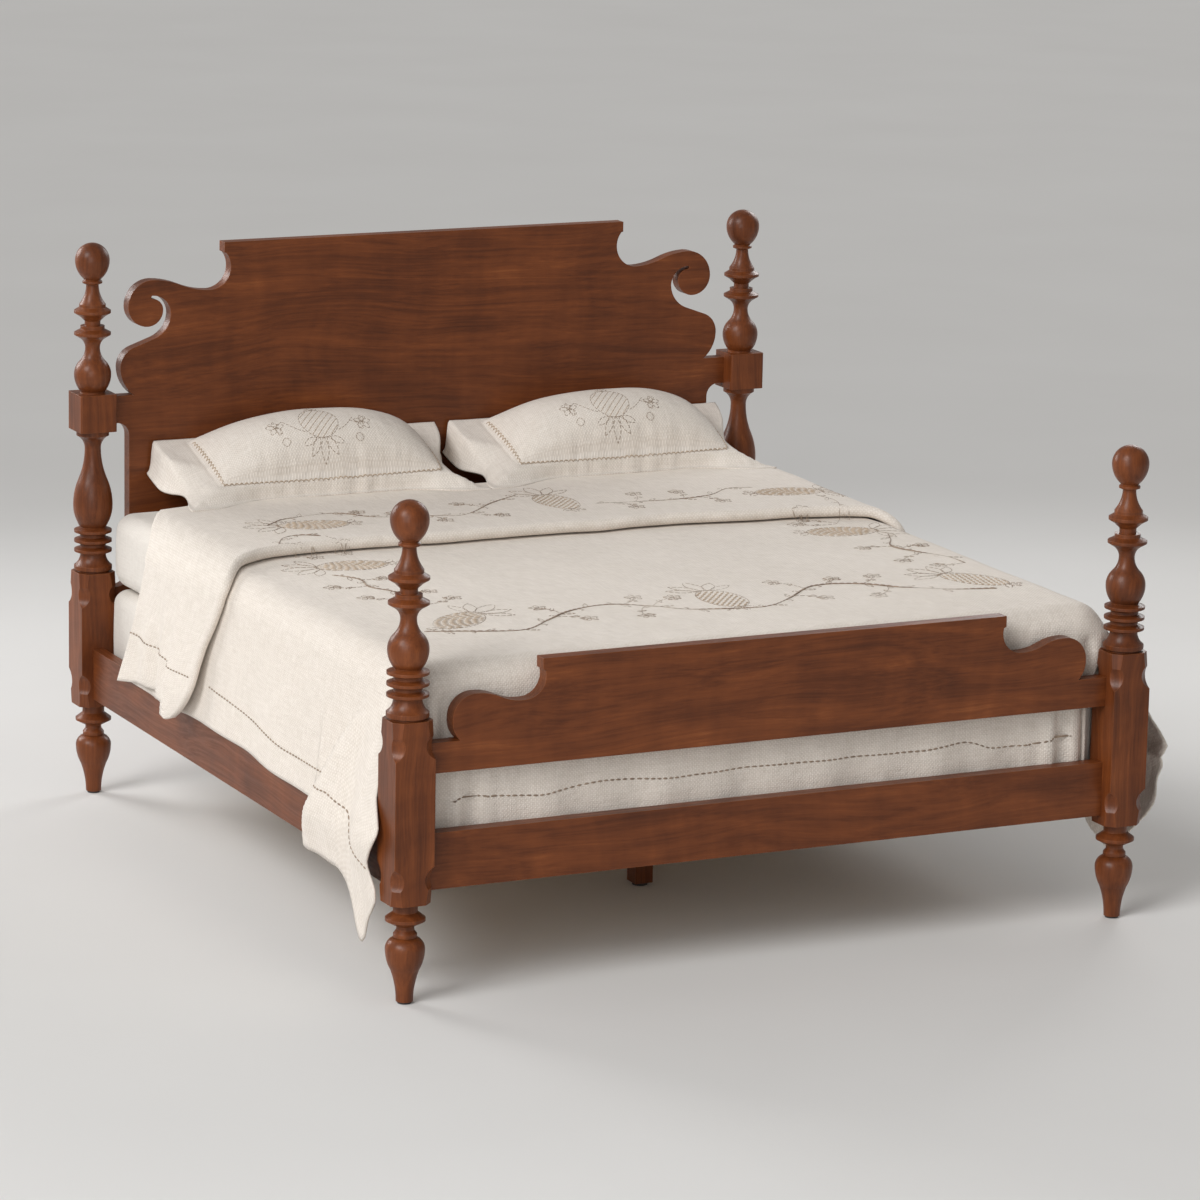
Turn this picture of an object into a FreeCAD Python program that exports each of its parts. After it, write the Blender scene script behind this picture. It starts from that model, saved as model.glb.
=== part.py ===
import FreeCAD, Part
import math
import os
import Sketcher
from types import SimpleNamespace

# A king-size poster bed: turned posts, scrolled panels, hooked rails, slats and bedding.
# Millimetres, +Z up, the head towards +Y, the origin on the floor under the middle of the bed.

# Driving dimensions
SIZES = {
    # Bedding, which sets the plan of the frame
    "mattress_width": 1930,
    "mattress_length": 2030,
    "mattress_height": 213,
    "mattress_corner": 70,
    "mattress_roll": 45,
    "box_spring_height": 229,
    "box_spring_corner": 45,
    "box_spring_roll": 16,
    "mattress_end_gap": 3,
    "mattress_side_gap": 12,
    "soft_gap": 0.3,
    # Square blanks of the posts and the blocks left on them
    "post_side": 104,
    "head_post_height": 1532,
    "foot_post_height": 1232,
    "arm_block_height": 103,
    "arm_block_neck": 5,
    "arm_block_round": 6,
    # Scooped corners of the lower blocks, as depths along the diagonal
    "scoop_end_depth": 15,
    "scoop_waist_depth": 11,
    "scoop_waist_drop": 38,
    "scoop_length": 94,
    "scoop_hollow": 11.5,
    # Turned foot
    "glide_height": 5,
    "glide_diameter": 34,
    "foot_tip_diameter": 42,
    "foot_taper_diameter": 70,
    "foot_taper_height": 78,
    "foot_ball_diameter": 97,
    "foot_ball_low": 53,
    "foot_ball_high": 29,
    "foot_collar_diameter": 58,
    "foot_collar_height": 9,
    "foot_neck_diameter": 44,
    "foot_neck_height": 18,
    "foot_ring_diameter": 98,
    "foot_ring_height": 36,
    "foot_shank_diameter": 60,
    "foot_shank_height": 24,
    # Turned rings above each lower block
    "base_neck_diameter": 88,
    "base_neck_height": 6,
    "base_bell_diameter": 104,
    "base_bell_edge": 11,
    "base_bell_rise": 32,
    "ring_diameter": 103,
    "ring_height": 20,
    "ring_nose": 7,
    "ring_gap": 7,
    "ring_core_diameter": 70,
    # Pear of the head posts, between the rings and the arm block
    "pear_diameter": 108,
    "pear_low": 62,
    "pear_rise": 157,
    "pear_shoulder_share": 0.45,
    "pear_neck_diameter": 44,
    "pear_cup_height": 36,
    "pear_collar_diameter": 89,
    "pear_collar_height": 14,
    # Vase, discs, spire and ball at the top of every post
    "vase_base_diameter": 68,
    "vase_diameter": 101,
    "vase_low": 46,
    "vase_rise": 73,
    "vase_shoulder_share": 0.5,
    "vase_neck_diameter": 40,
    "vase_cup_height": 27,
    "disc_diameter": 100,
    "disc_height": 25,
    "disc_nose": 7,
    "disc_core_diameter": 70,
    "bead_diameter": 66,
    "bead_height": 9,
    "scotia_diameter": 43,
    "scotia_height": 26,
    "spire_base_diameter": 72,
    "spire_base_height": 8,
    "spire_neck_diameter": 34,
    "spire_rise": 53,
    "neck_ring_diameter": 54,
    "neck_ring_height": 14,
    "neck_ring_nose": 5,
    "ball_neck_diameter": 44,
    "ball_diameter": 94,
    "ball_low": 53,
    "ball_high": 47,
    # Rails
    "rail_height": 140,
    "rail_thickness": 32,
    "rail_setback": 33,
    "rail_lift": 24,
    # Panels and their joints
    "panel_thickness": 38,
    "footboard_setback": 42,
    "headboard_setback": 50,
    "arm_height": 75,
    "tenon_length": 45,
    "tenon_thickness": 14,
    "tenon_shoulder": 12,
    "tenon_clearance": 0.2,
    # Outline of the headboard's right half
    "headboard_top": 1515,
    "headboard_crest": 607,
    "headboard_crest_edge": 28,
    "headboard_quirk": 6,
    "headboard_quirk_drop": 2,
    "headboard_cove_reach": 43,
    "headboard_cove_depth": 130,
    "headboard_cove_sag": 35,
    "headboard_ogee_run": 165,
    "headboard_ogee_rise": 36,
    "headboard_ogee_sag": 4,
    "volute_crown": 72,
    "volute_outer": 56,
    "volute_under": 45,
    "volute_inner": 31,
    "slot_end": 9,
    "slot_end_sag": 3.5,
    "slot_crown": 54,
    "hollow_run": 48,
    "hollow_drop": 65,
    "hollow_sag": 12,
    "lobe_line_run": 61,
    "lobe_line_drop": 22,
    "lobe_top_run": 38,
    "lobe_top_drop": 54,
    "lobe_top_sag": 10.5,
    "lobe_under_run": 38,
    "lobe_under_sag": 10,
    "headboard_half_width": 885,
    "headboard_arm_top": 1107,
    "headboard_arm_cove": 36,
    "headboard_low_arm": 575,
    # Outline of the footboard's right half
    "footboard_top": 821,
    "footboard_crest": 640,
    "footboard_crest_edge": 27,
    "footboard_quirk": 7,
    "footboard_quirk_drop": 4,
    "footboard_cove_reach": 47,
    "footboard_cove_depth": 98,
    "footboard_cove_sag": 21,
    "footboard_ogee_run": 129,
    "footboard_ogee_rise": 27,
    "footboard_ogee_sag": 4,
    "footboard_lobe": 60,
    "footboard_lobe_run": 20,
    "footboard_lobe_sag": 6.4,
    "footboard_arm_top": 638,
    # Slats and what carries them
    "ledger_height": 40,
    "ledger_thickness": 25,
    "ledger_drop": 75,
    "slat_thickness": 20,
    "slat_width": 90,
    "slat_count": 12,
    "slat_end_gap": 2,
    "slat_margin": 60,
    "beam_width": 45,
    "beam_height": 60,
    "beam_end_gap": 1,
    "bracket_plate": 4,
    "bracket_height": 70,
    "bracket_seat": 40,
    "leg_side": 50,
    "leg_inset": 340,
    "leveller_diameter": 40,
    "leveller_base": 8,
    "leveller_stem_diameter": 10,
    "leveller_stem": 20,
    "leveller_socket_gap": 0.2,
    # Rail hooks
    "plate_height": 116,
    "plate_width": 20,
    "plate_thickness": 3,
    "plate_clearance": 0.2,
    "hook_spacing": 52,
    "hook_width": 5,
    "hook_root": 18,
    "hook_lip": 4,
    "hook_drop": 6,
    "hook_clearance": 0.4,
    "hook_pocket": 10,
    # Coverlet
    "coverlet_thickness": 14,
    "coverlet_head": 800,
    "coverlet_foot": 1008,
    "coverlet_hem": 392,
    "coverlet_fold": 18,
    "coverlet_folds": 7,
    "cloth_round_growth": 1.5,
    "cloth_rail_gap": 3,
    "corner_flap_place": 480,
    "corner_flap_step": 30,
    "corner_flap_height": 262,
    "corner_flap_flare": 40,
    "corner_tip_place": 897,
    "corner_tip_height": 123,
    "turn_down_edge": 190,
    "turn_down_loft": 26,
    "turn_down_tip_place": 400,
    "turn_down_tip_height": 374,
    "foot_drop_half_width": 925,
    "foot_drop_thickness": 11,
    "foot_drop_hem": 430,
    "foot_drop_lap": 30,
    # Pillows
    "pillow_width": 870,
    "pillow_depth": 392,
    "pillow_crown": 118,
    "pillow_belly": 28,
    "pillow_edge": 8,
    "pillow_end": 3,
    "pillow_draw_in": 14,
    "pillow_slices": 4,
    "pillow_tilt": 19.5,
    "pillow_left_place": -410,
    "pillow_right_place": 475,
}

QUARTER_SAG = 1 - math.cos(math.pi / 4)
DIAGONAL = math.sqrt(2)
NEAR = 0.01


class Size:
    """A length with the sheet expression that gives it."""

    def __init__(self, value, text):
        self.value = float(value)
        self.text = text

    def combined(self, other, sign, value):
        return Size(value, f"({self.text} {sign} {term(other).text})")

    def __add__(self, other):
        return self.combined(other, "+", self.value + term(other).value)

    def __sub__(self, other):
        return self.combined(other, "-", self.value - term(other).value)

    def __mul__(self, other):
        return self.combined(other, "*", self.value * term(other).value)

    def __truediv__(self, other):
        return self.combined(other, "/", self.value / term(other).value)

    def __neg__(self):
        return self * -1

    def root(self):
        return Size(math.sqrt(self.value), f"sqrt({self.text})")

    def __radd__(self, other):
        return term(other) + self

    def __rsub__(self, other):
        return term(other) - self

    def __rmul__(self, other):
        return term(other) * self


def term(number):
    """A plain number as a Size, so that sums may mix the two."""
    if isinstance(number, Size):
        return number
    return Size(number, f"({float(number)!r})")


def fill_sheet(doc):
    """The spreadsheet of driving dimensions, and what it holds as plain numbers."""
    sheet = doc.addObject("Spreadsheet::Sheet", "Sizes")
    for row, (alias, value) in enumerate(SIZES.items(), start=1):
        sheet.set(f"A{row}", alias)
        sheet.set(f"B{row}", str(value))
        sheet.setAlias(f"B{row}", alias)
    doc.recompute()
    return SimpleNamespace(**{alias: float(getattr(sheet, alias)) for alias in SIZES})


doc = FreeCAD.newDocument("poster_bed")
plain = fill_sheet(doc)
s = SimpleNamespace(**{alias: Size(value, f"Sizes.{alias}") for alias, value in vars(plain).items()})


def derived_places():
    """Places that several pieces share, worked out from the driving dimensions."""
    p = SimpleNamespace()
    half_post = s.post_side / 2
    p.half_post = half_post
    p.post_x = s.mattress_width / 2 + s.mattress_side_gap + s.rail_thickness + s.rail_setback - half_post
    p.post_y = s.mattress_length / 2 + s.mattress_end_gap + half_post
    foot_low = s.glide_height + s.foot_taper_height + s.foot_ball_low + s.foot_ball_high
    foot_high = s.foot_collar_height + s.foot_neck_height + s.foot_ring_height + s.foot_shank_height
    p.block_bottom = foot_low + foot_high
    rings = s.ring_height * 3 + s.ring_gap * 2
    p.base_height = s.base_neck_height + s.base_bell_edge + s.base_bell_rise + rings
    vase = s.vase_low + s.vase_rise + s.vase_cup_height
    discs = s.disc_height * 2 + s.bead_height + s.scotia_height
    spire = s.spire_base_height + s.spire_rise + s.neck_ring_height
    p.top_height = vase + discs + spire + s.ball_low + s.ball_high
    p.pear_height = s.pear_low + s.pear_rise + s.pear_cup_height + s.pear_collar_height
    p.foot_block_top = s.foot_post_height - p.top_height - p.base_height
    p.arm_block_top = s.head_post_height - p.top_height - s.arm_block_neck
    p.arm_block_bottom = p.arm_block_top - s.arm_block_height
    p.head_block_top = p.arm_block_bottom - p.pear_height - p.base_height
    p.rail_bottom = p.block_bottom + s.rail_lift
    p.rail_top = p.rail_bottom + s.rail_height
    p.rail_inner = s.mattress_width / 2 + s.mattress_side_gap
    p.panel_span = p.post_x - half_post
    p.rail_span = p.post_y - half_post
    p.footboard_front = -p.post_y - half_post + s.footboard_setback
    p.headboard_front = p.post_y - half_post + s.headboard_setback
    p.ledger_top = p.rail_top - s.ledger_drop
    p.slat_top = p.ledger_top + s.slat_thickness
    p.box_spring_bottom = p.slat_top + s.soft_gap
    p.mattress_bottom = p.box_spring_bottom + s.box_spring_height + s.soft_gap
    p.mattress_top = p.mattress_bottom + s.mattress_height
    p.beam_bottom = p.ledger_top - s.beam_height
    p.rail_middle = p.rail_inner + s.rail_thickness / 2
    p.plate_middle = p.rail_bottom + s.rail_height / 2
    return p


place = derived_places()
pieces = []


def vector(x, y, z=0):
    return FreeCAD.Vector(term(x).value, term(y).value, term(z).value)


def put(piece, x, y, z, turn=0):
    """Places a piece by expressions, with an optional fixed turn about the vertical."""
    upright = FreeCAD.Vector(0, 0, 1)
    piece.Placement = FreeCAD.Placement(vector(x, y, z), FreeCAD.Rotation(upright, turn))
    for axis, size in (("x", x), ("y", y), ("z", z)):
        piece.setExpression(f".Placement.Base.{axis}", term(size).text)


def new_body(label):
    body = doc.addObject("PartDesign::Body", label)
    body.Label = label
    pieces.append(body)
    return body


def new_sketch(body, role, offset=None, turn=0):
    """A sketch on one of the body's own planes, moved along its normal and turned about its upright."""
    sketch = body.newObject("Sketcher::SketchObject", f"{body.Label}_sketch")
    plane = [item for item in body.Origin.OriginFeatures if item.Role == role][0]
    sketch.AttachmentSupport = (plane, [""])
    sketch.MapMode = "FlatFace"
    offset = term(0 if offset is None else offset)
    upright = FreeCAD.Rotation(FreeCAD.Vector(0, 1, 0), turn)
    sketch.AttachmentOffset = FreeCAD.Placement(vector(0, 0, offset), upright)
    sketch.setExpression("AttachmentOffset.Base.z", offset.text)
    return sketch


class Outline:
    """A closed outline of lines and arcs, drawn corner by corner and bound to the sheet.

    An arc is given by its sag, the height of its crown over the chord: above zero it swells
    to the right of the way the outline runs, below zero to the left.
    """

    def __init__(self, x, y):
        self.corners = [(term(x), term(y))]
        self.edges = []

    def go(self, x, y, sag=None):
        last_x, last_y = self.corners[-1]
        return self.step(term(x), term(y), term(x) - last_x, term(y) - last_y, sag)

    def move(self, run, rise, sag=None):
        last_x, last_y = self.corners[-1]
        return self.step(last_x + run, last_y + rise, term(run), term(rise), sag)

    def turn(self, diameter, rise, sag=None):
        """The next stretch of a turned profile: its diameter and its height."""
        last_x, last_y = self.corners[-1]
        radius = term(diameter) / 2
        return self.step(radius, last_y + rise, radius - last_x, term(rise), sag)

    def swell(self, diameter, rise):
        """A turned stretch that bulges out and stands upright at its wider end."""
        return self.upright_arc(diameter, rise, 1)

    def hollow(self, diameter, rise):
        """A turned stretch that curves in and stands upright at its narrower end."""
        return self.upright_arc(diameter, rise, -1)

    def upright_arc(self, diameter, rise, way):
        run = term(diameter) / 2 - self.corners[-1][0]
        width = run if run.value > 0 else -run
        chord = (run * run + rise * rise).root()
        sag = chord * (chord - rise) / (width * 2)
        return self.turn(diameter, rise, sag * way)

    def ogee(self, diameter, rise, share):
        """A turned stretch that narrows from a swell into a hollow, which meet on a common slope."""
        widest = self.corners[-1][0] * 2
        self.swell(widest + (diameter - widest) * share, rise * share)
        return self.hollow(diameter, rise * (1 - share))

    def step(self, x, y, run, rise, sag):
        self.corners.append((x, y))
        self.edges.append((run, rise, sag))
        return self

    def draw(self, sketch):
        """Adds the edges, joins them at the corners and ties every corner and radius to the sheet."""
        ends = [self.draw_edge(sketch, index) for index in range(len(self.edges))]
        for index, (geometry, start, finish) in enumerate(ends):
            following, next_start, next_finish = ends[(index + 1) % len(ends)]
            sketch.addConstraint(Sketcher.Constraint("Coincident", geometry, finish, following, next_start))
        for (geometry, start, finish), (x, y) in zip(ends, self.corners):
            tie(sketch, Sketcher.Constraint("DistanceX", -1, 1, geometry, start, x.value), x)
            tie(sketch, Sketcher.Constraint("DistanceY", -1, 1, geometry, start, y.value), y)

    def draw_edge(self, sketch, index):
        run, rise, sag = self.edges[index]
        first = vector(*self.corners[index])
        last = vector(*self.corners[(index + 1) % len(self.edges)])
        if sag is None:
            return sketch.addGeometry(Part.LineSegment(first, last)), 1, 2
        chord = last - first
        swell = FreeCAD.Vector(chord.y, -chord.x, 0).normalize() * term(sag).value
        crown = (first + last) / 2 + swell
        outward = term(sag).value > 0
        points = (first, crown, last) if outward else (last, crown, first)
        geometry = sketch.addGeometry(Part.Arc(*points))
        height = term(sag) if outward else -term(sag)
        radius = (run * run + rise * rise) / (height * 8) + height / 2
        tie(sketch, Sketcher.Constraint("Radius", geometry, radius.value), radius)
        return (geometry, 1, 2) if outward else (geometry, 2, 1)


def tie(sketch, constraint, size):
    index = sketch.addConstraint(constraint)
    sketch.setExpression(f"Constraints[{index}]", size.text)


def rectangle(sketch, left, bottom, right, top):
    Outline(left, bottom).go(right, bottom).go(right, top).go(left, top).go(left, bottom).draw(sketch)


def rounded_rectangle(half_x, half_y, corner):
    """A rectangle about the middle with rounded corners."""
    bulge = corner * QUARTER_SAG
    outline = Outline(half_x, corner - half_y)
    outline.go(half_x, half_y - corner)
    outline.go(half_x - corner, half_y, bulge)
    outline.go(corner - half_x, half_y)
    outline.go(-half_x, half_y - corner, bulge)
    outline.go(-half_x, corner - half_y)
    outline.go(corner - half_x, -half_y, bulge)
    outline.go(half_x - corner, -half_y)
    return outline.go(half_x, corner - half_y, bulge)


def pad(body, sketch, length, both_ways=False, backwards=False):
    return extrude(body, "PartDesign::Pad", sketch, length, both_ways, backwards)


def pocket(body, sketch, length, both_ways=False, backwards=False):
    """A cut along the sketch's normal, which has to take material away."""
    doc.recompute()
    before = body.Shape.Volume
    cut = extrude(body, "PartDesign::Pocket", sketch, length, both_ways, backwards)
    doc.recompute()
    if not body.Shape.Volume < before:
        raise RuntimeError(f"a pocket of {body.Label} cuts nothing")
    return cut


def extrude(body, kind, sketch, length, both_ways, backwards):
    feature = body.newObject(kind, f"{body.Label}_step")
    feature.Profile = sketch
    feature.Length = term(length).value
    feature.setExpression("Length", term(length).text)
    feature.SideType = "Symmetric" if both_ways else "One side"
    feature.Reversed = backwards
    body.Tip = feature
    return feature


def board(label, low, high):
    """A plain board between two corners, as a padded section."""
    body = new_body(label)
    sketch = new_sketch(body, "XY_Plane")
    rectangle(sketch, 0, 0, high[0] - low[0], high[1] - low[1])
    pad(body, sketch, high[2] - low[2])
    put(body, *low)
    return body


# Posts


def turned_foot(outline):
    """The foot from its tip up to the square block."""
    outline.turn(s.foot_tip_diameter, 0)
    outline.hollow(s.foot_taper_diameter, s.foot_taper_height)
    outline.swell(s.foot_ball_diameter, s.foot_ball_low)
    outline.swell(s.foot_neck_diameter, s.foot_ball_high)
    outline.turn(s.foot_collar_diameter, 0)
    outline.turn(s.foot_collar_diameter, s.foot_collar_height)
    outline.turn(s.foot_neck_diameter, s.foot_neck_height / 2)
    outline.turn(s.foot_neck_diameter, s.foot_neck_height / 2)
    ring(outline, s.foot_ring_diameter, s.foot_ring_height, s.ring_nose, s.foot_shank_diameter)
    outline.turn(s.foot_shank_diameter, s.foot_shank_height)


def ring(outline, diameter, height, nose, core):
    """A ring with sloping sides and a blunt nose, closing on its core."""
    slope = (height - nose) / 2
    outline.turn(diameter, slope)
    outline.turn(diameter, nose)
    outline.turn(core, slope)


def turned_base(outline):
    """The bell and three rings that rise from a lower block."""
    outline.turn(s.base_neck_diameter, 0)
    outline.turn(s.base_neck_diameter, s.base_neck_height)
    outline.turn(s.base_bell_diameter, 0)
    outline.turn(s.base_bell_diameter, s.base_bell_edge)
    outline.hollow(s.ring_core_diameter, s.base_bell_rise)
    for index in range(3):
        ring(outline, s.ring_diameter, s.ring_height, s.ring_nose, s.ring_core_diameter)
        if index < 2:
            outline.turn(s.ring_core_diameter, s.ring_gap)


def turned_pear(outline):
    """The long pear of a head post, up to its arm block."""
    outline.swell(s.pear_diameter, s.pear_low)
    outline.ogee(s.pear_neck_diameter, s.pear_rise, s.pear_shoulder_share)
    outline.hollow(s.pear_collar_diameter, s.pear_cup_height)
    outline.turn(s.pear_collar_diameter, s.pear_collar_height)


def turned_top(outline):
    """The vase, two discs, the spire and the ball."""
    outline.swell(s.vase_diameter, s.vase_low)
    outline.ogee(s.vase_neck_diameter, s.vase_rise, s.vase_shoulder_share)
    outline.hollow(s.disc_core_diameter, s.vase_cup_height)
    ring(outline, s.disc_diameter, s.disc_height, s.disc_nose, s.bead_diameter)
    outline.turn(s.bead_diameter, s.bead_height)
    outline.turn(s.scotia_diameter, 0)
    outline.turn(s.scotia_diameter, s.scotia_height / 2)
    outline.turn(s.disc_core_diameter, s.scotia_height / 2)
    ring(outline, s.disc_diameter, s.disc_height, s.disc_nose, s.spire_base_diameter)
    outline.turn(s.spire_base_diameter, s.spire_base_height)
    outline.hollow(s.spire_neck_diameter, s.spire_rise)
    ring(outline, s.neck_ring_diameter, s.neck_ring_height, s.neck_ring_nose, s.ball_neck_diameter)
    outline.swell(s.ball_diameter, s.ball_low)
    outline.swell(0, s.ball_high)


def turned_core(body, label, is_head):
    """The lathe work of a post, with a plain core through its square blocks."""
    outline = Outline(0, s.glide_height)
    turned_foot(outline)
    block_top = place.head_block_top if is_head else place.foot_block_top
    outline.turn(s.foot_shank_diameter, block_top - place.block_bottom)
    turned_base(outline)
    if is_head:
        turned_pear(outline)
        outline.turn(s.vase_base_diameter, 0)
        outline.turn(s.vase_base_diameter, s.arm_block_height + s.arm_block_neck)
    else:
        outline.turn(s.vase_base_diameter, 0)
    turned_top(outline)
    outline.go(0, s.glide_height)
    sketch = new_sketch(body, "XZ_Plane")
    outline.draw(sketch)
    lathe = body.newObject("PartDesign::Revolution", f"{label}_lathe")
    lathe.Profile = sketch
    lathe.ReferenceAxis = (sketch, ["V_Axis"])
    lathe.Angle = 360
    body.Tip = lathe


def square_block(body, bottom, top):
    sketch = new_sketch(body, "XY_Plane", bottom)
    half = place.half_post
    rectangle(sketch, -half, -half, half, half)
    return pad(body, sketch, top - bottom)


def arm_block(body):
    """The block that takes a headboard arm, with its upright edges rounded."""
    sketch = new_sketch(body, "XY_Plane", place.arm_block_bottom)
    rounded_rectangle(place.half_post, place.half_post, s.arm_block_round).draw(sketch)
    return pad(body, sketch, s.arm_block_height)


def scooped_corners(body, bottom, top):
    """Stopped chamfers that end in a scooped tongue, cut on all four corners at both ends of a block."""
    corner = s.post_side / DIAGONAL
    beyond = corner + s.scoop_end_depth
    for end, way in ((top, -1), (bottom, 1)):
        outline = Outline(beyond, end)
        outline.go(corner - s.scoop_end_depth, end)
        outline.move(s.scoop_end_depth - s.scoop_waist_depth, s.scoop_waist_drop * way)
        outline.go(corner, end + s.scoop_length * way, s.scoop_hollow * -way)
        outline.go(beyond, end + s.scoop_length * way)
        outline.go(beyond, end)
        sketch = new_sketch(body, "XZ_Plane", turn=45)
        outline.draw(sketch)
        cut = pocket(body, sketch, s.post_side, both_ways=True)
        corners = body.newObject("PartDesign::PolarPattern", f"{body.Label}_corners")
        corners.Originals = [cut]
        corners.Axis = (sketch, ["V_Axis"])
        corners.Angle = 360
        corners.Occurrences = 4
        body.Tip = corners


def mortise(body, side, middle_y, thickness, bottom, top):
    """A blind mortise in the face towards the other post, for a tenon with a little play."""
    play = s.tenon_clearance
    sketch = new_sketch(body, "YZ_Plane", place.half_post * side)
    half = thickness / 2 + play
    rectangle(sketch, middle_y - half, bottom - play, middle_y + half, top + play)
    pocket(body, sketch, s.tenon_length + play, backwards=side < 0)


def plate_seat(body, side, toward):
    """The recess for a slotted plate in the face towards the side rail, and the pockets for its hooks."""
    shift = (place.rail_middle - place.post_x) * side
    face = place.half_post * -toward
    half = s.plate_width / 2 + s.plate_clearance
    tall = s.plate_height / 2 + s.plate_clearance
    sketch = new_sketch(body, "XZ_Plane", face)
    rectangle(sketch, shift - half, place.plate_middle - tall, shift + half, place.plate_middle + tall)
    pocket(body, sketch, s.plate_thickness, backwards=toward > 0)
    for way in (-1, 1):
        middle = place.plate_middle + s.hook_spacing / 2 * way
        reach = s.hook_width / 2 + s.hook_clearance
        low = middle - s.hook_root / 2 - s.hook_drop - s.hook_clearance
        high = middle + s.hook_root / 2 + s.hook_drop + s.hook_clearance
        sketch = new_sketch(body, "XZ_Plane", face)
        rectangle(sketch, shift - reach, low, shift + reach, high)
        pocket(body, sketch, s.hook_pocket, backwards=toward > 0)


def post(label, side, is_head):
    """One post: side is -1 on the left and 1 on the right."""
    body = new_body(label)
    toward = -1 if is_head else 1
    block_top = place.head_block_top if is_head else place.foot_block_top
    turned_core(body, label, is_head)
    square_block(body, place.block_bottom, block_top)
    if is_head:
        arm_block(body)
    scooped_corners(body, place.block_bottom, block_top)
    panel_y = s.headboard_setback if is_head else s.footboard_setback
    panel_y = panel_y + s.panel_thickness / 2 - place.half_post
    for bottom, top in panel_arms(is_head) + [(place.rail_bottom, place.rail_top)]:
        low = bottom + s.tenon_shoulder
        mortise(body, -side, panel_y, s.tenon_thickness, low, top - s.tenon_shoulder)
    plate_seat(body, side, toward)
    put(body, place.post_x * side, place.post_y * -toward, 0)


def panel_arms(is_head):
    """The heights of the arms that a panel has on each side."""
    if is_head:
        tops = (s.headboard_arm_top, s.headboard_low_arm)
    else:
        tops = (s.footboard_arm_top,)
    return [(top - s.arm_height, top) for top in tops]


# Panels


def mirrored(half):
    """Closes a right-hand half outline, drawn from the middle of its top to the middle of its foot."""
    whole = Outline(*half.corners[0])
    whole.corners = list(half.corners)
    whole.edges = list(half.edges)
    for (x, y), (run, rise, sag) in zip(half.corners[-2::-1], half.edges[::-1]):
        whole.step(-x, y, run, -rise, sag)
    return whole


def headboard_half():
    outline = Outline(0, s.headboard_top)
    outline.go(s.headboard_crest, s.headboard_top)
    outline.move(0, -s.headboard_crest_edge)
    outline.move(-s.headboard_quirk, -s.headboard_quirk_drop)
    bottom = s.headboard_top - s.headboard_cove_depth
    outline.go(s.headboard_crest + s.headboard_cove_reach, bottom, s.headboard_cove_sag)
    half_run = s.headboard_ogee_run / 2
    half_rise = s.headboard_ogee_rise / 2
    outline.move(half_run, half_rise, s.headboard_ogee_sag)
    outline.move(half_run, half_rise, -s.headboard_ogee_sag)
    for radius, right, up in (
        (s.volute_crown, 1, -1),
        (s.volute_outer, -1, -1),
        (s.volute_under, -1, 1),
        (s.volute_inner, 1, 1),
    ):
        outline.move(radius * right, radius * up, -radius * QUARTER_SAG)
    outline.move(0, s.slot_end, s.slot_end_sag)
    outline.move(-s.slot_crown, -s.slot_crown, s.slot_crown * QUARTER_SAG)
    outline.move(s.hollow_run, -s.hollow_drop, s.hollow_sag)
    outline.move(s.lobe_line_run, -s.lobe_line_drop)
    outline.move(s.lobe_top_run, -s.lobe_top_drop, -s.lobe_top_sag)
    outer = outline.corners[-1][0]
    outline.go(outer - s.lobe_under_run, s.headboard_arm_top, -s.lobe_under_sag)
    headboard_arms(outline)
    return outline


def headboard_arms(outline):
    """Both arms of the headboard with the open window between them, and its foot."""
    span = place.panel_span
    edge = s.headboard_half_width
    cove = s.headboard_arm_cove
    (high_bottom, high_top), (low_bottom, low_top) = panel_arms(True)
    outline.go(span, high_top)
    outline.go(span, high_bottom)
    outline.go(edge + cove, high_bottom)
    outline.go(edge, high_bottom - cove, cove * QUARTER_SAG)
    outline.go(edge, low_top + cove)
    outline.go(edge + cove, low_top, cove * QUARTER_SAG)
    outline.go(span, low_top)
    outline.go(span, low_bottom)
    outline.go(0, low_bottom)


def footboard_half():
    outline = Outline(0, s.footboard_top)
    outline.go(s.footboard_crest, s.footboard_top)
    outline.move(0, -s.footboard_crest_edge)
    outline.move(-s.footboard_quirk, -s.footboard_quirk_drop)
    bottom = s.footboard_top - s.footboard_cove_depth
    outline.go(s.footboard_crest + s.footboard_cove_reach, bottom, s.footboard_cove_sag)
    half_run = s.footboard_ogee_run / 2
    half_rise = s.footboard_ogee_rise / 2
    outline.move(half_run, half_rise, s.footboard_ogee_sag)
    outline.move(half_run, half_rise, -s.footboard_ogee_sag)
    outline.move(s.footboard_lobe, -s.footboard_lobe, -s.footboard_lobe * QUARTER_SAG)
    outer = outline.corners[-1][0]
    outline.go(outer - s.footboard_lobe_run, s.footboard_arm_top, -s.footboard_lobe_sag)
    [(arm_bottom, arm_top)] = panel_arms(False)
    outline.go(place.panel_span, arm_top)
    outline.go(place.panel_span, arm_bottom)
    outline.go(0, arm_bottom)
    return outline


def tenons(body, span, bottom, top):
    """A tenon on both ends of an arm or rail, centred in its thickness."""
    half = s.tenon_thickness / 2
    for side in (-1, 1):
        sketch = new_sketch(body, "YZ_Plane", span * side)
        rectangle(sketch, -half, bottom + s.tenon_shoulder, half, top - s.tenon_shoulder)
        pad(body, sketch, s.tenon_length, backwards=side < 0)


def panel(label, half_outline, front, is_head):
    body = new_body(label)
    sketch = new_sketch(body, "XZ_Plane")
    mirrored(half_outline).draw(sketch)
    pad(body, sketch, s.panel_thickness, both_ways=True)
    for bottom, top in panel_arms(is_head):
        tenons(body, place.panel_span, bottom, top)
    put(body, 0, front + s.panel_thickness / 2, 0)


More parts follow.
